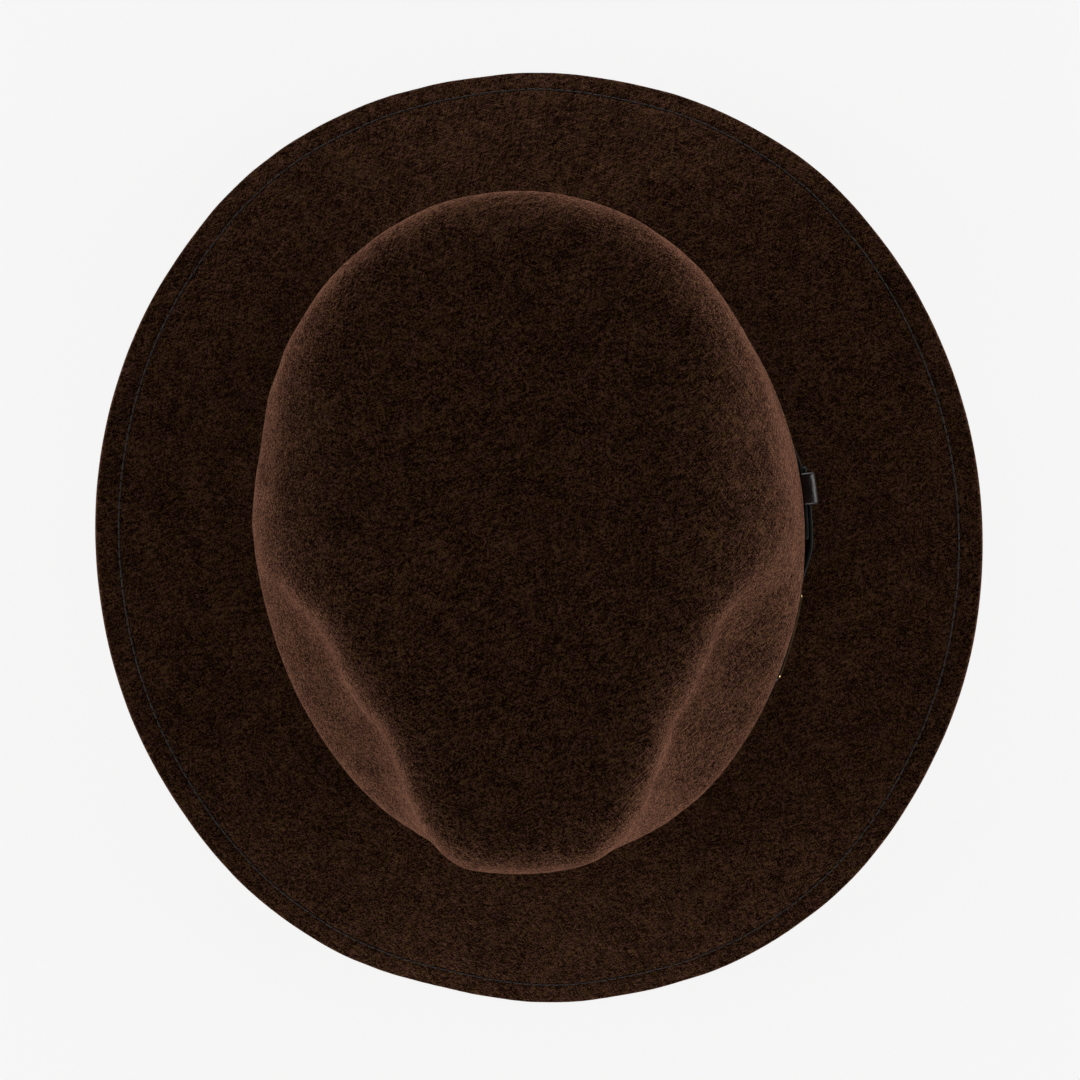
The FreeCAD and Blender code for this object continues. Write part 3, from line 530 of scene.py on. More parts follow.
def felt_material():
    """Wool felt: dark brown wool with lighter and darker fibres lying every way."""
    n = Nodes("wool_felt")
    n.place = n.stretched((1, 1, 0.45))
    turns = [
        (0.2, 0.1, 0.3),
        (-0.3, 0.2, 1.25),
        (0.15, -0.25, 2.2),
        (1.35, 0.2, 0.7),
        (0.25, 1.3, 0.2),
        (-0.2, 0.1, 2.75),
    ]
    strands = [n.noise(1.0, 1.0, 0.4, n.stretched((260, 3000, 3000), turn)) for turn in turns]
    mixed = n.math("DIVIDE", n.math("ADD", n.math("ADD", *strands[:2]), strands[2]), 3)
    tuft = n.noise(1500, 2.0, 0.6)
    mixed = n.math("ADD", n.math("MULTIPLY", mixed, 0.85), n.math("MULTIPLY", tuft, 0.15))
    cloud = n.noise(110, 4.0, 0.62)
    mixed = n.math("ADD", mixed, n.math("MULTIPLY", n.math("SUBTRACT", cloud, 0.5), 0.14))
    light = n.spread(strands[3], 0.62, 0.74)
    for strand in strands[4:]:
        light = n.math("MAXIMUM", light, n.spread(strand, 0.62, 0.74))
    dye = n.noise(600, 2.0, 0.6)
    dark_dye = n.mix(n.spread(dye, 0.4, 0.6), (0.0022, 0.0006, 0.0009), (0.0030, 0.0011, 0.0003))
    mid_dye = n.mix(n.spread(dye, 0.35, 0.65), (0.0125, 0.0038, 0.0028), (0.0118, 0.0048, 0.0013))
    pale_dye = n.mix(n.spread(dye, 0.35, 0.65), (0.110, 0.045, 0.031), (0.092, 0.050, 0.013))
    ground = n.mix(n.spread(mixed, 0.41, 0.50), dark_dye, mid_dye)
    ground = n.mix(n.spread(mixed, 0.50, 0.62), ground, pale_dye)
    ground = n.mix(n.math("MULTIPLY", light, 0.7), ground, pale_dye)
    glint = n.math("ADD", n.spread(mixed, 0.40, 0.60), n.math("MULTIPLY", light, 0.7))
    shine = n.mix(n.math("MULTIPLY", glint, 0.75), (0.05, 0.018, 0.012), (1.0, 0.47, 0.31))
    fine = n.math("ADD", n.math("MULTIPLY", mixed, 2.0), n.math("MULTIPLY", light, 0.5))
    normal = n.bump(fine, 0.00030, 0.9)
    n.set(Roughness=0.95, Sheen_Weight=1.0, Sheen_Roughness=0.42, Specular_IOR_Level=0.0)
    n.paint(colour=ground, normal=normal, sheen=shine)
    return n.material


def leather_material(name, dark, light, roughness, coat, grain=900):
    """Grained leather with creased cells, small pores and uneven polish, with painted shade that
    darkens the creases towards black.
    """
    n = Nodes(name)
    crease = n.spread(n.cell_edges(grain), 0.0, 0.16)
    pores = n.spread(n.noise(grain * 3, 2.0), 0.35, 0.6)
    worn = n.noise(70, 5.0, 0.6)
    colour = n.colours(worn, (0.35, dark), (0.7, light))
    # painted shade: the grain's creases are darkened towards black
    colour = n.mix(n.spread(crease, 0.0, 1.0, 0.35, 0.0), colour, (0.002, 0.002, 0.002))
    height = n.math("ADD", crease, n.math("MULTIPLY", pores, 0.25))
    rough = n.spread(worn, 0.3, 0.75, roughness - 0.06, roughness + 0.1)
    n.set(Specular_IOR_Level=0.35, Coat_Weight=coat, Coat_Roughness=0.25)
    n.paint(colour=colour, roughness=rough, normal=n.bump(height, 0.00008, 0.7))
    return n.material


def brass_material():
    """Brushed brass, with tarnish in patches."""
    n = Nodes("brass")
    lines = n.noise(1.0, 3.0, 0.6, n.stretched((60, 60, 5200)))
    patch = n.noise(240, 4.0, 0.6)
    colour = n.colours(patch, (0.3, (0.62, 0.39, 0.15)), (0.62, (0.83, 0.60, 0.28)))
    rough = n.spread(n.math("ADD", lines, patch), 0.6, 1.4, 0.22, 0.42)
    n.set(Metallic=1.0)
    n.paint(colour=colour, roughness=rough, normal=n.bump(lines, 0.00002, 0.5))
    return n.material


def thread_material(name, colour, pale):
    """Twisted thread: fine slanting plies."""
    n = Nodes(name)
    plies = n.add("ShaderNodeTexWave", wave_type="BANDS", bands_direction="DIAGONAL")
    plies.inputs["Scale"].default_value = 1900
    plies.inputs["Distortion"].default_value = 1.5
    n.link(n.place, plies.inputs["Vector"])
    shade = n.mix(n.spread(plies.outputs["Fac"], 0.2, 0.9), colour, pale)
    n.set(Roughness=0.7, Sheen_Weight=0.3, Sheen_Roughness=0.5)
    n.paint(colour=shade, normal=n.bump(plies.outputs["Fac"], 0.00006, 0.7))
    return n.material


def woven_material(name, dark, light, pitch, roughness, sheen, ribs=False):
    """Woven cloth: warp and weft as crossed bands, or ribs only."""
    n = Nodes(name)
    bands = []
    for direction in ("Z",) if ribs else ("Z", "X", "Y"):
        wave = n.add("ShaderNodeTexWave", wave_type="BANDS", bands_direction=direction)
        wave.inputs["Scale"].default_value = pitch
        wave.inputs["Distortion"].default_value = 0.6
        wave.inputs["Detail"].default_value = 1.5
        n.link(n.place, wave.inputs["Vector"])
        bands.append(wave.outputs["Fac"])
    weave = bands[0]
    for band in bands[1:]:
        weave = n.math("MULTIPLY", weave, n.spread(band, 0, 1, 0.55, 1.0))
    slub = n.noise(130, 4.0, 0.6)
    colour = n.mix(n.spread(weave, 0.1, 0.8), dark, light)
    colour = n.mix(n.spread(slub, 0.35, 0.75, 0.0, 0.35), colour, light)
    n.set(Roughness=roughness, Sheen_Weight=sheen, Sheen_Roughness=0.35)
    n.paint(colour=colour, normal=n.bump(weave, 0.00007, 0.6))
    return n.material


def satin_material():
    """Smooth lining satin, shiny along its floats, with soft cloudy patches."""
    n = Nodes("lining_satin")
    floats = n.noise(1.0, 2.0, 0.5, n.stretched((2600, 2600, 260)))
    cloud = n.noise(40, 3.0, 0.5)
    colour = n.mix(n.spread(floats, 0.35, 0.65), (0.045, 0.022, 0.013), (0.085, 0.044, 0.027))
    colour = n.mix(n.spread(cloud, 0.4, 0.7, 0.0, 0.3), colour, (0.12, 0.065, 0.04))
    rough = n.spread(floats, 0.3, 0.7, 0.30, 0.44)
    n.set(Specular_IOR_Level=0.6, Sheen_Weight=0.25, Sheen_Roughness=0.25, Anisotropic=0.5)
    n.paint(colour=colour, roughness=rough, normal=n.bump(floats, 0.00003, 0.5))
    return n.material


def paper_material():
    n = Nodes("label_paper")
    pulp = n.noise(900, 5.0, 0.7)
    colour = n.colours(pulp, (0.3, (0.60, 0.56, 0.48)), (0.7, (0.74, 0.71, 0.63)))
    n.set(Roughness=0.85)
    n.paint(colour=colour, normal=n.bump(pulp, 0.00004, 0.5))
    return n.material


def plastic_material():
    n = Nodes("reed_plastic")
    haze = n.noise(300, 3.0, 0.6)
    colour = n.colours(haze, (0.3, (0.62, 0.61, 0.56)), (0.7, (0.74, 0.73, 0.69)))
    n.set(Subsurface_Weight=0.3, Subsurface_Scale=0.001)
    n.paint(colour=colour, roughness=n.spread(haze, 0.3, 0.7, 0.3, 0.45))
    return n.material


def floor_material():
    """Plain pale sweep, lit from below so that it stays even and nearly free of shadow."""
    n = Nodes("floor_sweep")
    tooth = n.noise(600, 4.0, 0.6)
    colour = n.colours(tooth, (0.3, (0.115, 0.115, 0.115)), (0.7, (0.125, 0.125, 0.125)))
    n.set(Roughness=0.9, Specular_IOR_Level=0.0)
    n.set(Emission_Color=(1, 1, 1, 1), Emission_Strength=FLOOR_GLOW)
    n.paint(colour=colour)
    return n.material


FELT_WOOL = felt_material()
FELT_THREAD = thread_material("brown_thread", (0.005, 0.002, 0.0015), (0.016, 0.008, 0.005))
BAND_LEATHER = leather_material(
    "black_leather", (0.0020, 0.0022, 0.0028), (0.0050, 0.0053, 0.0066), 0.50, 0.05
)
KEEPER_LEATHER = leather_material(
    "brown_leather", (0.013, 0.006, 0.006), (0.028, 0.013, 0.012), 0.32, 0.45, grain=700
)
SWEAT_LEATHER = leather_material(
    "sweatband_leather", (0.050, 0.024, 0.012), (0.085, 0.044, 0.024), 0.42, 0.1, grain=1300
)
BRASS = brass_material()
SATIN = satin_material()
RIBBON = woven_material(
    "grosgrain", (0.006, 0.004, 0.003), (0.030, 0.018, 0.012), 900, 0.6, 0.4, ribs=True
)
TAPE = woven_material("oilcloth", (0.012, 0.011, 0.010), (0.045, 0.041, 0.037), 800, 0.5, 0.2)
LABEL_CLOTH = woven_material("label_cloth", (0.42, 0.40, 0.35), (0.66, 0.64, 0.58), 1000, 0.55, 0.3)
PAPER = paper_material()
REED = plastic_material()

# ---------------------------------------------------------------- felt body

AROUND = 640
CROWN_STEPS = 118
WALL_STEPS = 14
BREAK_STEPS = 10
BRIM_STEPS = 78
ANGLES = 2 * math.pi * np.arange(AROUND) / AROUND


def groove(distance, along):
    """How far the sewn line pulls the felt in, at a distance from the brim's edge."""
    pull = np.exp(-(((distance - STITCH_INSET) / (0.85 * MM)) ** 2))
    pucker = 0.75 + 0.25 * np.cos(2 * math.pi * along / STITCH_PITCH)
    return 0.42 * MM * pull * pucker


def edge_run(rows):
    """The distance along the brim's edge at each column."""
    edge = rows[-1]
    steps = np.linalg.norm(np.roll(edge, -1, axis=0) - edge, axis=1)
    return np.concatenate([[0], np.cumsum(steps)[:-1]])


def felt_body():
    upper, facing = felt_rows(ANGLES, CROWN_STEPS, WALL_STEPS, BREAK_STEPS, BRIM_STEPS)
    inward = upper[-2] - upper[-1]
    inward /= np.linalg.norm(inward, axis=1, keepdims=True)
    along = edge_run(upper)
    from_edge = np.linalg.norm(upper - upper[-1], axis=-1)
    rise = upper[..., 2] - BREAK
    loose = smooth(rise, 40 * MM, 75 * MM)
    on_brim = np.arange(len(upper))[:, None] >= CROWN_STEPS + WALL_STEPS + BREAK_STEPS
    brim_loose = np.where(on_brim, smooth(from_edge, 60 * MM, 30 * MM), 0)
    sway = ripple(upper, 62 * MM, 3) * 0.55 * MM * (loose + brim_loose)
    lumps = ripple(upper, 15 * MM, 5) * 0.09 * MM * (0.25 + 0.75 * np.maximum(loose, brim_loose))
    nap = ripple(upper, 3.2 * MM, 7, 40) * 0.022 * MM
    shift = sway + lumps
    top = upper + facing * (shift + nap)[..., None]
    top -= facing * np.where(on_brim, groove(from_edge, along), 0)[..., None]
    top[0] = top[0].mean(axis=0)
    bottom = upper + facing * (shift - FELT - nap)[..., None]
    bottom[0] = bottom[0].mean(axis=0)

    edge = top[-1]
    edge_facing = facing[-1]
    out = -inward

    def rim(outset, depth):
        return edge + out * outset - edge_facing * depth

    half = EDGE_THICKNESS / 2
    roll = [
        rim(0.55 * half * math.sin(turn), half * (1 - math.cos(turn)))
        for turn in np.linspace(0, math.pi, 15)[1:]
    ]
    under = []
    for share in np.linspace(0, 1, 25)[1:]:
        inset = FOLD_WIDTH * share
        row = rim(-inset, EDGE_THICKNESS)
        under.append(row + edge_facing * groove(inset, along)[:, None])
    raw_edge = [rim(-FOLD_WIDTH - 0.12 * MM, EDGE_THICKNESS - 0.25 * MM)]
    for depth in (3.6, 2.9, 2.4):
        raw_edge.append(rim(-FOLD_WIDTH + 0.1 * MM, depth * MM))
    inside = bottom[from_edge.mean(axis=1) > FOLD_WIDTH + 0.6 * MM]
    rows = np.concatenate([top, roll, under, raw_edge, inside[::-1]])
    body = capped_skin("felt_hat_body", rows)
    finish_piece(body, "hat", "felt", FELT_WOOL, "felt_body")
    return upper, facing, inward, along, top


UPPER, FACING, EDGE_INWARD, EDGE_ALONG, FELT_TOP = felt_body()


def inside_edge(skin, facing, inset):
    """The line on the skin that runs beside its outer edge, inset from it, and how it faces."""
    distance = np.linalg.norm(skin - skin[-1], axis=-1)
    row = np.sum(distance > inset, axis=0) - 1
    column = np.arange(skin.shape[1])
    far = distance[row, column]
    near = distance[row + 1, column]
    share = ((far - inset) / (far - near))[:, None]
    line = skin[row, column] * (1 - share) + skin[row + 1, column] * share
    turned = facing[row, column] * (1 - share) + facing[row + 1, column] * share
    return line, turned / np.linalg.norm(turned, axis=1, keepdims=True)


def brim_stitches():
    """Lock stitches in the sewn line: one row on the upper face and one under the fold."""
    length = EDGE_ALONG[-1] + np.linalg.norm(UPPER[-1][0] - UPPER[-1][-1])
    count = int(round(length / STITCH_PITCH))
    places = (np.arange(count) + 0.5) * length / count
    columns = np.append(EDGE_ALONG, length)
    line, line_facing = inside_edge(FELT_TOP, FACING, STITCH_INSET)
    ahead = np.roll(line, -1, axis=0) - np.roll(line, 1, axis=0)
    ahead /= np.linalg.norm(ahead, axis=1, keepdims=True)

    def at(values):
        closed = np.vstack([values, values[:1]])
        return np.stack([np.interp(places, columns, closed[:, k]) for k in range(3)], axis=1)

    run = at(ahead)
    long = STITCH_PITCH * 0.86
    radius = 0.24 * MM
    facing = at(line_facing)
    upper = capsules("brim_stitches_upper", at(line), run, facing, long, radius)
    finish_piece(upper, "hat", "thread", FELT_THREAD, "brim_edge_stitching")
    under_line = UPPER[-1] + EDGE_INWARD * STITCH_INSET - FACING[-1] * (EDGE_THICKNESS - 0.26 * MM)
    under = capsules("brim_stitches_under", at(under_line), run, -at(FACING[-1]), long, radius)
    finish_piece(under, "hat", "thread", FELT_THREAD)


brim_stitches()

# ---------------------------------------------------------------- hat band, keeper and plate


def band_lift(turn):
    """How far the strap's inner face stands off the felt, at angles in degrees along it."""
    over = BAND_RAISE + BAND_THICKNESS + LAYER_GAP
    start = BAND_RAISE + (BAND_GAP - BAND_RAISE) * smooth(turn, 8.6, 14.0)
    finish = BAND_GAP + (over - BAND_GAP) * smooth(turn, 350.0, 357.6)
    return np.where(turn < 180, start, finish)


def hat_band():
    turn = np.linspace(BAND_START, BAND_END, 760)
    outline = rounded_box_outline(BAND_THICKNESS, BAND_WIDTH, 0.4 * MM, side_steps=7)
    lift = band_lift(turn) + BAND_THICKNESS / 2
    angle = np.radians(turn)
    low = BREAK + BAND_RISE
    sections = []
    for across, level in outline:
        line = oval(angle, lift + across)
        line[:, 2] = low + BAND_WIDTH / 2 + level
        sections.append(line)
    sections = np.stack(sections, axis=1)
    sections += outward(angle)[:, None, :] * 0.04 * MM * ripple(sections, 30 * MM, 11)[..., None]
    obj = swept_profile("leather_hat_band", sections)
    finish_piece(obj, "hat", "band_leather", BAND_LEATHER, "hat_band")


def keeper_loop(grow, count, corner):
    """The keeper's section as (outset, height) points; grow moves its outline outward."""
    inner = BAND_RAISE - KEEPER_CLEARANCE
    outer = BAND_RAISE + 2 * BAND_THICKNESS + LAYER_GAP + KEEPER_CLEARANCE
    width = outer - inner + 2 * grow
    height = BAND_WIDTH + 2 * KEEPER_CLEARANCE + 2 * grow
    outline = rounded_box_outline(width, height, corner, corner_steps=count)
    middle = np.array([(inner + outer) / 2, BREAK + BAND_RISE + BAND_WIDTH / 2])
    return outline + middle


def band_keeper():
    """A leather loop whose outer leaf is thicker and arched."""
    hole = keeper_loop(0.0, 8, 0.3 * MM)
    shell = keeper_loop(KEEPER_INNER_LEAF, 8, KEEPER_ROUNDING)
    middle = shell.mean(axis=0)
    outer_side = smooth(shell[:, 0], middle[0] - 1 * MM, shell[:, 0].max())
    level = (shell[:, 1] - middle[1]) / (np.ptp(shell[:, 1]) / 2)
    extra = (KEEPER_OUTER_LEAF - KEEPER_INNER_LEAF) + KEEPER_ARCH * np.clip(1 - level**4, 0, 1)
    shell[:, 0] += outer_side * extra
    count = len(shell)
    steps = np.linspace(-1, 1, 19)
    half = math.radians(KEEPER_SPAN) / 2
    edge = 0.35 * MM
    centre = np.array([-SIDE_CENTRE, 0.0])
    rows = []
    for share in steps:
        turn = math.radians(KEEPER_ANGLE) + share * half
        near = max(0.0, abs(share) * half * SIDE_RADIUS - (half * SIDE_RADIUS - edge))
        shrink = edge - math.sqrt(max(0.0, edge**2 - near**2))
        section = []
        for loop, sign in ((shell, -1), (hole, 1)):
            away = loop - middle
            away /= np.linalg.norm(away, axis=1, keepdims=True)
            section.append(loop + sign * away * shrink)
        flat = np.vstack(section)
        radius = SIDE_RADIUS + flat[:, 0]
        x = centre[0] + radius * math.cos(turn)
        y = centre[1] + radius * math.sin(turn)
        rows.append(np.stack([x, y, flat[:, 1]], axis=1))
    rows = np.array(rows)
    points = rows.reshape(-1, 3)
    stride = 2 * count
    faces = []
    for j in range(len(steps) - 1):
        for i in range(count):
            k = (i + 1) % count
            a = j * stride
            b = (j + 1) * stride
            faces.append((a + i, a + k, b + k, b + i))
            faces.append((a + count + k, a + count + i, b + count + i, b + count + k))
    last = (len(steps) - 1) * stride
    for i in range(count):
        k = (i + 1) % count
        faces.append((k, i, count + i, count + k))
        faces.append((last + i, last + k, last + count + k, last + count + i))
    obj = new_object("leather_keeper", points, faces)
    finish_piece(obj, "keeper", "keeper_leather", KEEPER_LEATHER, "band_keeper")


def plate():
    middle = BREAK + BAND_RISE + BAND_WIDTH / 2
    face = BAND_GAP + BAND_THICKNESS + 0.05 * MM
    margin = math.degrees(BACKING_MARGIN / SIDE_RADIUS)
    half = PLATE_WIDTH / 2
    backing = curved_patch(
        "plate_leather_backing",
        "side",
        PLATE_ANGLE,
        PLATE_SPAN + 2 * margin,
        middle - half - BACKING_MARGIN,
        middle + half + BACKING_MARGIN,
        face,
        BACKING_THICKNESS,
        2.0 * MM,
        0.15 * MM,
    )
    finish_piece(backing, "hat", "keeper_leather", KEEPER_LEATHER, "plate_backing")
    brass = curved_patch(
        "curved_brass_plate",
        "side",
        PLATE_ANGLE,
        PLATE_SPAN,
        middle - half,
        middle + half,
        face + BACKING_THICKNESS + 0.05 * MM,
        PLATE_THICKNESS,
        1.5 * MM,
        0.12 * MM,
    )
    finish_piece(brass, "hat", "brass", BRASS, "brass_plate")
    rivets(face + BACKING_THICKNESS + PLATE_THICKNESS, middle)


def rivets(face, height):
    """Two low domed heads on the plate."""
    middle = math.radians(PLATE_ANGLE)
    radial = outward(np.array(middle))
    along = np.array([-radial[1], radial[0], 0])
    up = np.array([0, 0, 1.0])
    centre = oval(np.array(middle)) + up * height
    sag = SIDE_RADIUS - math.sqrt(SIDE_RADIUS**2 - (RIVET_PITCH / 2) ** 2)
    profile = [(0.0, 0.30), (0.45, 0.27), (0.8, 0.16), (1.0, 0.0), (1.0, -0.35), (0.0, -0.35)]
    sides = 24
    points = []
    faces = []
    for shift in (-RIVET_PITCH / 2, RIVET_PITCH / 2):
        base = len(points)
        foot = centre + along * shift + radial * (face - sag)
        for out, lift in profile:
            for k in range(sides):
                turn = 2 * math.pi * k / sides
                across = along * math.cos(turn) + up * math.sin(turn)
                points.append(foot + radial * (lift * MM) + across * (out * 1.25 * RIVET_RADIUS))
        rows = np.array(points[base:]).reshape(len(profile), sides, 3)
        points = points[:base]
        points.append(rows[0, 0])
        points.extend(rows[1:-1].reshape(-1, 3))
        points.append(rows[-1, 0])
        inner_rows = len(profile) - 2
        for i in range(sides):
            j = (i + 1) % sides
            faces.append((base, base + 1 + i, base + 1 + j))
            foot_row = base + 1 + (inner_rows - 1) * sides
            faces.append((base + 1 + inner_rows * sides, foot_row + j, foot_row + i))
            for k in range(inner_rows - 1):
                p = base + 1 + k * sides
                faces.append((p + i, p + sides + i, p + sides + j, p + j))
    obj = new_object("plate_rivet_heads", points, faces)
    finish_piece(obj, "hat", "brass", BRASS, "plate_rivets")


def band_tacks():
    degrees = np.array([50, 90, 130, 180, 230, 270, 310.0])
    angle = np.radians(degrees)
    middle = oval(angle, BAND_GAP + BAND_THICKNESS * 0.5)
    middle[:, 2] = BREAK + BAND_RISE + BAND_WIDTH + 0.05 * MM
    away = outward(angle)
    lean = np.array([0, 0, 1.9]) - away * 0.95
    lean /= np.linalg.norm(lean, axis=1, keepdims=True)
    facing = away + np.array([0, 0, 0.5])
    facing -= lean * (facing * lean).sum(axis=1, keepdims=True)
    facing /= np.linalg.norm(facing, axis=1, keepdims=True)
    obj = capsules("band_tacks", middle + facing * 0.35 * MM, lean, facing, 2.6 * MM, 0.25 * MM)
    finish_piece(obj, "hat", "thread", FELT_THREAD, "band_tack_stitches")


hat_band()
band_keeper()
plate()
band_tacks()

# ---------------------------------------------------------------- sweatband and its pieces


def sweatband():
    """The leather strip round the head opening, open at the back."""
    gap = SWEATBAND_JOINT / 2 / END_RADIUS
    angle = np.linspace(math.pi / 2 + gap, 5 * math.pi / 2 - gap, 700)
    outline = rounded_box_outline(
        SWEATBAND_THICKNESS, SWEATBAND_WIDTH, 0.4 * MM, corner_steps=4, side_steps=12
    )
    low = BREAK + SWEATBAND_RISE
    sections = []
    for across, level in outline:
        share = level / SWEATBAND_WIDTH + 0.5
        settle = -0.12 * MM * math.sin(math.pi * share)
        outset = -SWEATBAND_INSET - SWEATBAND_THICKNESS / 2 + across + settle
        line = oval(angle, outset)
        line[:, 2] = low + SWEATBAND_WIDTH / 2 + level
        sections.append(line)
    sections = np.stack(sections, axis=1)
    obj = swept_profile("leather_sweatband", sections)
    finish_piece(obj, "hat", "sweatband_leather", SWEAT_LEATHER, "sweatband")


def oval_ring(name, outset, rise, radius, sides=16, count=480):
    angle = 2 * math.pi * np.arange(count) / count
    rows = []
    for k in range(sides):
        turn = -2 * math.pi * k / sides
        line = oval(angle, outset + radius * math.cos(turn))
        line[:, 2] = BREAK + rise + radius * math.sin(turn)
        rows.append(line)
    return ring_skin(name, np.array(rows))


def sweatband_edge():
    middle = -SWEATBAND_INSET - SWEATBAND_THICKNESS / 2
    reed = oval_ring("sweatband_reed_core", middle, REED_RISE, REED_RADIUS - 0.02 * MM)
    finish_piece(reed, "hat", "reed_plastic", REED, "sweatband_reed")
    tape = oval_ring("reed_cloth_tape", middle, REED_RISE, REED_RADIUS + TAPE_THICKNESS)
    finish_piece(tape, "hat", "tape", TAPE, "reed_tape")
    count = 190
    gap = 2.4 * MM / END_RADIUS
    angle = np.linspace(math.pi / 2 + gap, 5 * math.pi / 2 - gap, count)
    face = oval(angle, -SWEATBAND_INSET - SWEATBAND_THICKNESS - 0.02 * MM)
    face[:, 2] = BREAK + SWEATBAND_RISE + 2.0 * MM
    run = np.stack([-np.sin(angle), np.cos(angle), np.zeros(count)], axis=1)
    obj = capsules("sweatband_lock_stitches", face, run, -outward(angle), 2.6 * MM, 0.2 * MM)
    finish_piece(obj, "hat", "thread", FELT_THREAD, "sweatband_stitching")


def joint_stitches():
    """The zigzag that draws the sweatband's two ends together."""
    count = 16
    level = np.linspace(5 * MM, SWEATBAND_WIDTH - 4 * MM, count)
    lean = np.where(np.arange(count) % 2, 1.0, -1.0)
    y = OVAL_HALF_LENGTH - SWEATBAND_INSET - SWEATBAND_THICKNESS - 0.02 * MM
    middle = np.stack(
        [np.zeros(count), np.full(count, y), BREAK + SWEATBAND_RISE + level], axis=1
    )
    along = np.stack([np.full(count, 1.0), np.zeros(count), lean * 0.45], axis=1)
    along /= np.linalg.norm(along, axis=1, keepdims=True)
    facing = np.tile([0, -1.0, 0], (count, 1))
    obj = capsules("sweatband_joint_stitches", middle, along, facing, 4.6 * MM, 0.2 * MM)
    finish_piece(obj, "hat", "thread", FELT_THREAD)


def seam_tape():
    low = BREAK + SWEATBAND_RISE
    span = math.degrees(SEAM_TAPE_WIDTH / END_RADIUS)
    obj = curved_patch(
        "sweatband_joint_tape",
        "end",
        90,
        span,
        low,
        low + SEAM_TAPE_LENGTH,
        -3.05 * MM,
        0.3 * MM,
        1 * MM,
        0.08 * MM,
    )
    finish_piece(obj, "hat", "tape", TAPE, "sweatband_seam_tape")


def bow():
    """A flat ribbon bow: two loops that narrow to a knot, over the sweatband's joint."""
    face = OVAL_HALF_LENGTH - SWEATBAND_INSET - SWEATBAND_THICKNESS - 0.35 * MM
    height = BREAK + 13 * MM
    points = []
    faces = []
    for side in (-1, 1):
        steps = 44
        across = 9
        base = len(points)
        for k in range(steps):
            turn = 2 * math.pi * k / steps
            reach = (1 - math.cos(turn)) / 2
            x = side * (1.2 * MM + 10.6 * MM * reach)
            depth = 0.85 * MM * math.sin(turn) * (0.35 + 0.65 * reach)
            half = (2.0 + 2.4 * smooth(reach, 0.0, 0.8)) * MM
            for j in range(across):
                level = (2 * j / (across - 1) - 1) * half
                crease = 0.12 * MM * math.cos(level / half * 7) * (1 - reach)
                points.append((x, face - 0.95 * MM + depth + crease, height + level))
        for k in range(steps):
            for j in range(across - 1):
                a = base + k * across + j
                b = base + ((k + 1) % steps) * across + j
                faces.append((a, a + 1, b + 1, b) if side > 0 else (a, b, b + 1, a + 1))
    obj = new_object("ribbon_bow_loops", points, faces)
    solid = obj.modifiers.new("thickness", "SOLIDIFY")
    solid.thickness = 0.28 * MM
    solid.offset = 0
    finish_piece(obj, "hat", "ribbon", RIBBON, "sweatband_bow")
    outline = rounded_box_outline(3.6 * MM, 2.3 * MM, 0.7 * MM, side_steps=4)
    sections = []
    for level in np.linspace(-1, 1, 13):
        pinch = 1 - 0.12 * (1 - level**2)
        rim = 1 - 0.3 * abs(level) ** 8
        section = [
            (x * pinch * rim, face - 1.0 * MM + y * rim, height + level * 2.5 * MM)
            for x, y in outline
        ]
        sections.append(section)
    knot = swept_profile("ribbon_bow_knot", np.array(sections)[::-1])
    finish_piece(knot, "hat", "ribbon", RIBBON)


sweatband()
sweatband_edge()
joint_stitches()
seam_tape()
bow()

# ---------------------------------------------------------------- lining and labels

LINING_ANGLES = 2 * math.pi * np.arange(360) / 360
LINING_ROWS, LINING_FACING = felt_rows(LINING_ANGLES, 79, 10, 6, 20)
SEAM_ROW = 43
HEM_ROW = 78


def lining():
    near = -(FELT + LINING_GAP)
    far = near - LINING_THICKNESS
    seam = LINING_ROWS[: SEAM_ROW + 1]
    facing = LINING_FACING[: SEAM_ROW + 1]
    soft = ripple(seam, 26 * MM, 21) * 0.12 * MM - 0.15 * MM
    outer = seam + facing * (near + np.minimum(soft, 0))[..., None]
    inner = seam + facing * (far + np.minimum(soft, 0))[..., None]
    tip = capped_skin("satin_lining_tip", np.concatenate([outer, inner[::-1]]))
    finish_piece(tip, "hat", "satin", SATIN, "lining_tip")
    rows = LINING_ROWS[SEAM_ROW + 1 : HEM_ROW + 1]
    facing = LINING_FACING[SEAM_ROW + 1 : HEM_ROW + 1]
    share = np.linspace(1, 0, len(rows))[:, None] ** 1.5
    gather = 0.22 * MM * (1 - np.cos(LINING_ANGLES * 70 + 1.5 * np.sin(LINING_ANGLES * 9)))
    fold = -share * gather[None, :]
    outer = rows + facing * (near + fold)[..., None]
    inner = rows + facing * (far + fold)[..., None]
    side = ring_skin("satin_lining_side", np.concatenate([outer, inner[::-1]]))
    finish_piece(side, "hat", "satin", SATIN, "lining_side_band")
    radius = 0.45 * MM
    middle = (LINING_ROWS[SEAM_ROW] + LINING_ROWS[SEAM_ROW + 1]) / 2
    normal = LINING_FACING[SEAM_ROW]
    run = LINING_ROWS[SEAM_ROW + 1] - LINING_ROWS[SEAM_ROW]
    run /= np.linalg.norm(run, axis=1, keepdims=True)
    centre = middle + normal * (far - radius - 0.15 * MM)
    turns = -2 * math.pi * np.arange(14) / 14
    cord = [
        centre + normal * (radius * math.cos(t)) - run * (radius * math.sin(t)) for t in turns
    ]
    piping = ring_skin("lining_piping", np.array(cord))
    finish_piece(piping, "hat", "satin", SATIN, "lining_seam_cord")


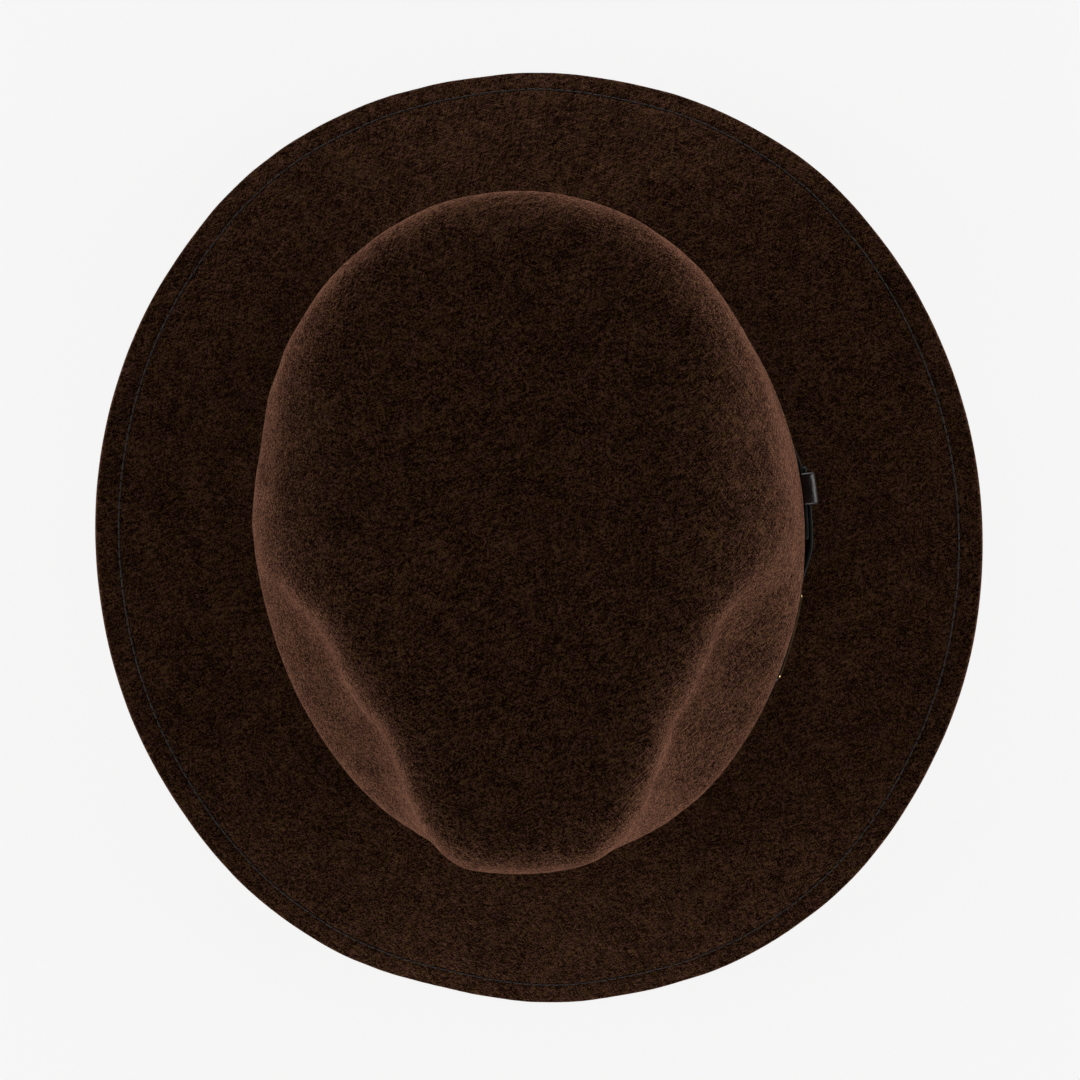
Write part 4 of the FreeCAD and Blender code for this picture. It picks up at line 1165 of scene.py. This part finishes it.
def labels():
    middle = BREAK + SWEATBAND_RISE + SWEATBAND_WIDTH / 2
    size_label = curved_patch(
        "blank_size_label",
        "end",
        SIZE_LABEL_ANGLE,
        math.degrees(SIZE_LABEL_WIDTH / END_RADIUS),
        middle - SIZE_LABEL_HEIGHT / 2,
        middle + SIZE_LABEL_HEIGHT / 2,
        -SWEATBAND_INSET - SWEATBAND_THICKNESS - 0.25 * MM,
        0.2 * MM,
        1.5 * MM,
        0.05 * MM,
    )
    finish_piece(size_label, "hat", "label_paper", PAPER, "size_label")
    foot = BREAK + SWEATBAND_RISE + SWEATBAND_WIDTH + 0.5 * MM
    care_label = curved_patch(
        "blank_care_label",
        "end",
        CARE_LABEL_ANGLE,
        math.degrees(CARE_LABEL_WIDTH / END_RADIUS),
        foot,
        foot + CARE_LABEL_HEIGHT,
        -SWEATBAND_INSET - SWEATBAND_THICKNESS / 2 - 0.8 * MM,
        0.2 * MM,
        0.6 * MM,
        0.05 * MM,
    )
    finish_piece(care_label, "hat", "label_woven", LABEL_CLOTH, "care_label")


lining()
labels()

# ---------------------------------------------------------------- floor, light and camera


def floor():
    size = 6.0
    points = [(-size, -size, 0), (size, -size, 0), (size, size, 0), (-size, size, 0)]
    obj = new_object("floor", points, [(0, 1, 2, 3)])
    obj.data.materials.append(floor_material())


def area_light(name, place, target, width, height, power):
    data = bpy.data.lights.new(name, "AREA")
    data.shape = "RECTANGLE"
    data.size = width
    data.size_y = height
    data.energy = power
    obj = bpy.data.objects.new(name, data)
    obj.location = place
    away = Vector(place) - Vector(target)
    obj.rotation_euler = away.to_track_quat("Z", "Y").to_euler()
    bpy.context.scene.collection.objects.link(obj)


def studio_world():
    """A light tent: bright low down all round, dim overhead where the camera looks in."""
    world = bpy.data.worlds.new("light_tent")
    world.use_nodes = True
    tree = world.node_tree
    place = tree.nodes.new("ShaderNodeTexCoord")
    split = tree.nodes.new("ShaderNodeSeparateXYZ")
    ramp = tree.nodes.new("ShaderNodeMapRange")
    ramp.interpolation_type = "SMOOTHSTEP"
    for k, value in enumerate((0.0, 0.75, TENT_LOW, TENT_HIGH), start=1):
        ramp.inputs[k].default_value = value
    tree.links.new(place.outputs["Generated"], split.inputs[0])
    tree.links.new(split.outputs["Z"], ramp.inputs[0])
    tree.links.new(ramp.outputs[0], tree.nodes["Background"].inputs["Strength"])
    bpy.context.scene.world = world


def lights():
    middle = (0, 0, 0.05)
    area_light("back_softbox", (0, 1.6, 0.45), middle, 2.2, 0.5, 16)
    area_light("front_softbox", (0, -1.6, 0.45), middle, 2.2, 0.5, 16)
    area_light("left_softbox", (-1.6, 0, 0.4), middle, 1.2, 0.5, 8)
    area_light("right_softbox", (1.6, 0, 0.4), middle, 1.2, 0.5, 8)


CAMERA_HEIGHT = 0.800
CAMERA_PLACE = (0.013, -0.010)
CAMERA_AIM = (0.0007, -0.0015)
FRAME_WIDTH = 0.3618
CAMERA_TURN = 1.85


def camera():
    """Straight above the hat, a little to the wearer's left, and turned a little."""
    data = bpy.data.cameras.new("camera")
    data.angle = 2 * math.atan(FRAME_WIDTH / 2 / CAMERA_HEIGHT)
    obj = bpy.data.objects.new("camera", data)
    place = Vector((*CAMERA_PLACE, BREAK + CAMERA_HEIGHT))
    target = Vector((*CAMERA_AIM, BREAK))
    back = (place - target).normalized()
    turn = math.radians(CAMERA_TURN)
    up = Vector((math.sin(turn), math.cos(turn), 0))
    right = up.cross(back).normalized()
    up = back.cross(right)
    axes = Matrix((right, up, back)).transposed().to_4x4()
    axes.translation = place
    obj.matrix_world = axes
    bpy.context.scene.collection.objects.link(obj)
    bpy.context.scene.camera = obj


floor()
studio_world()
lights()
camera()
bpy.context.scene.view_settings.view_transform = "Standard"
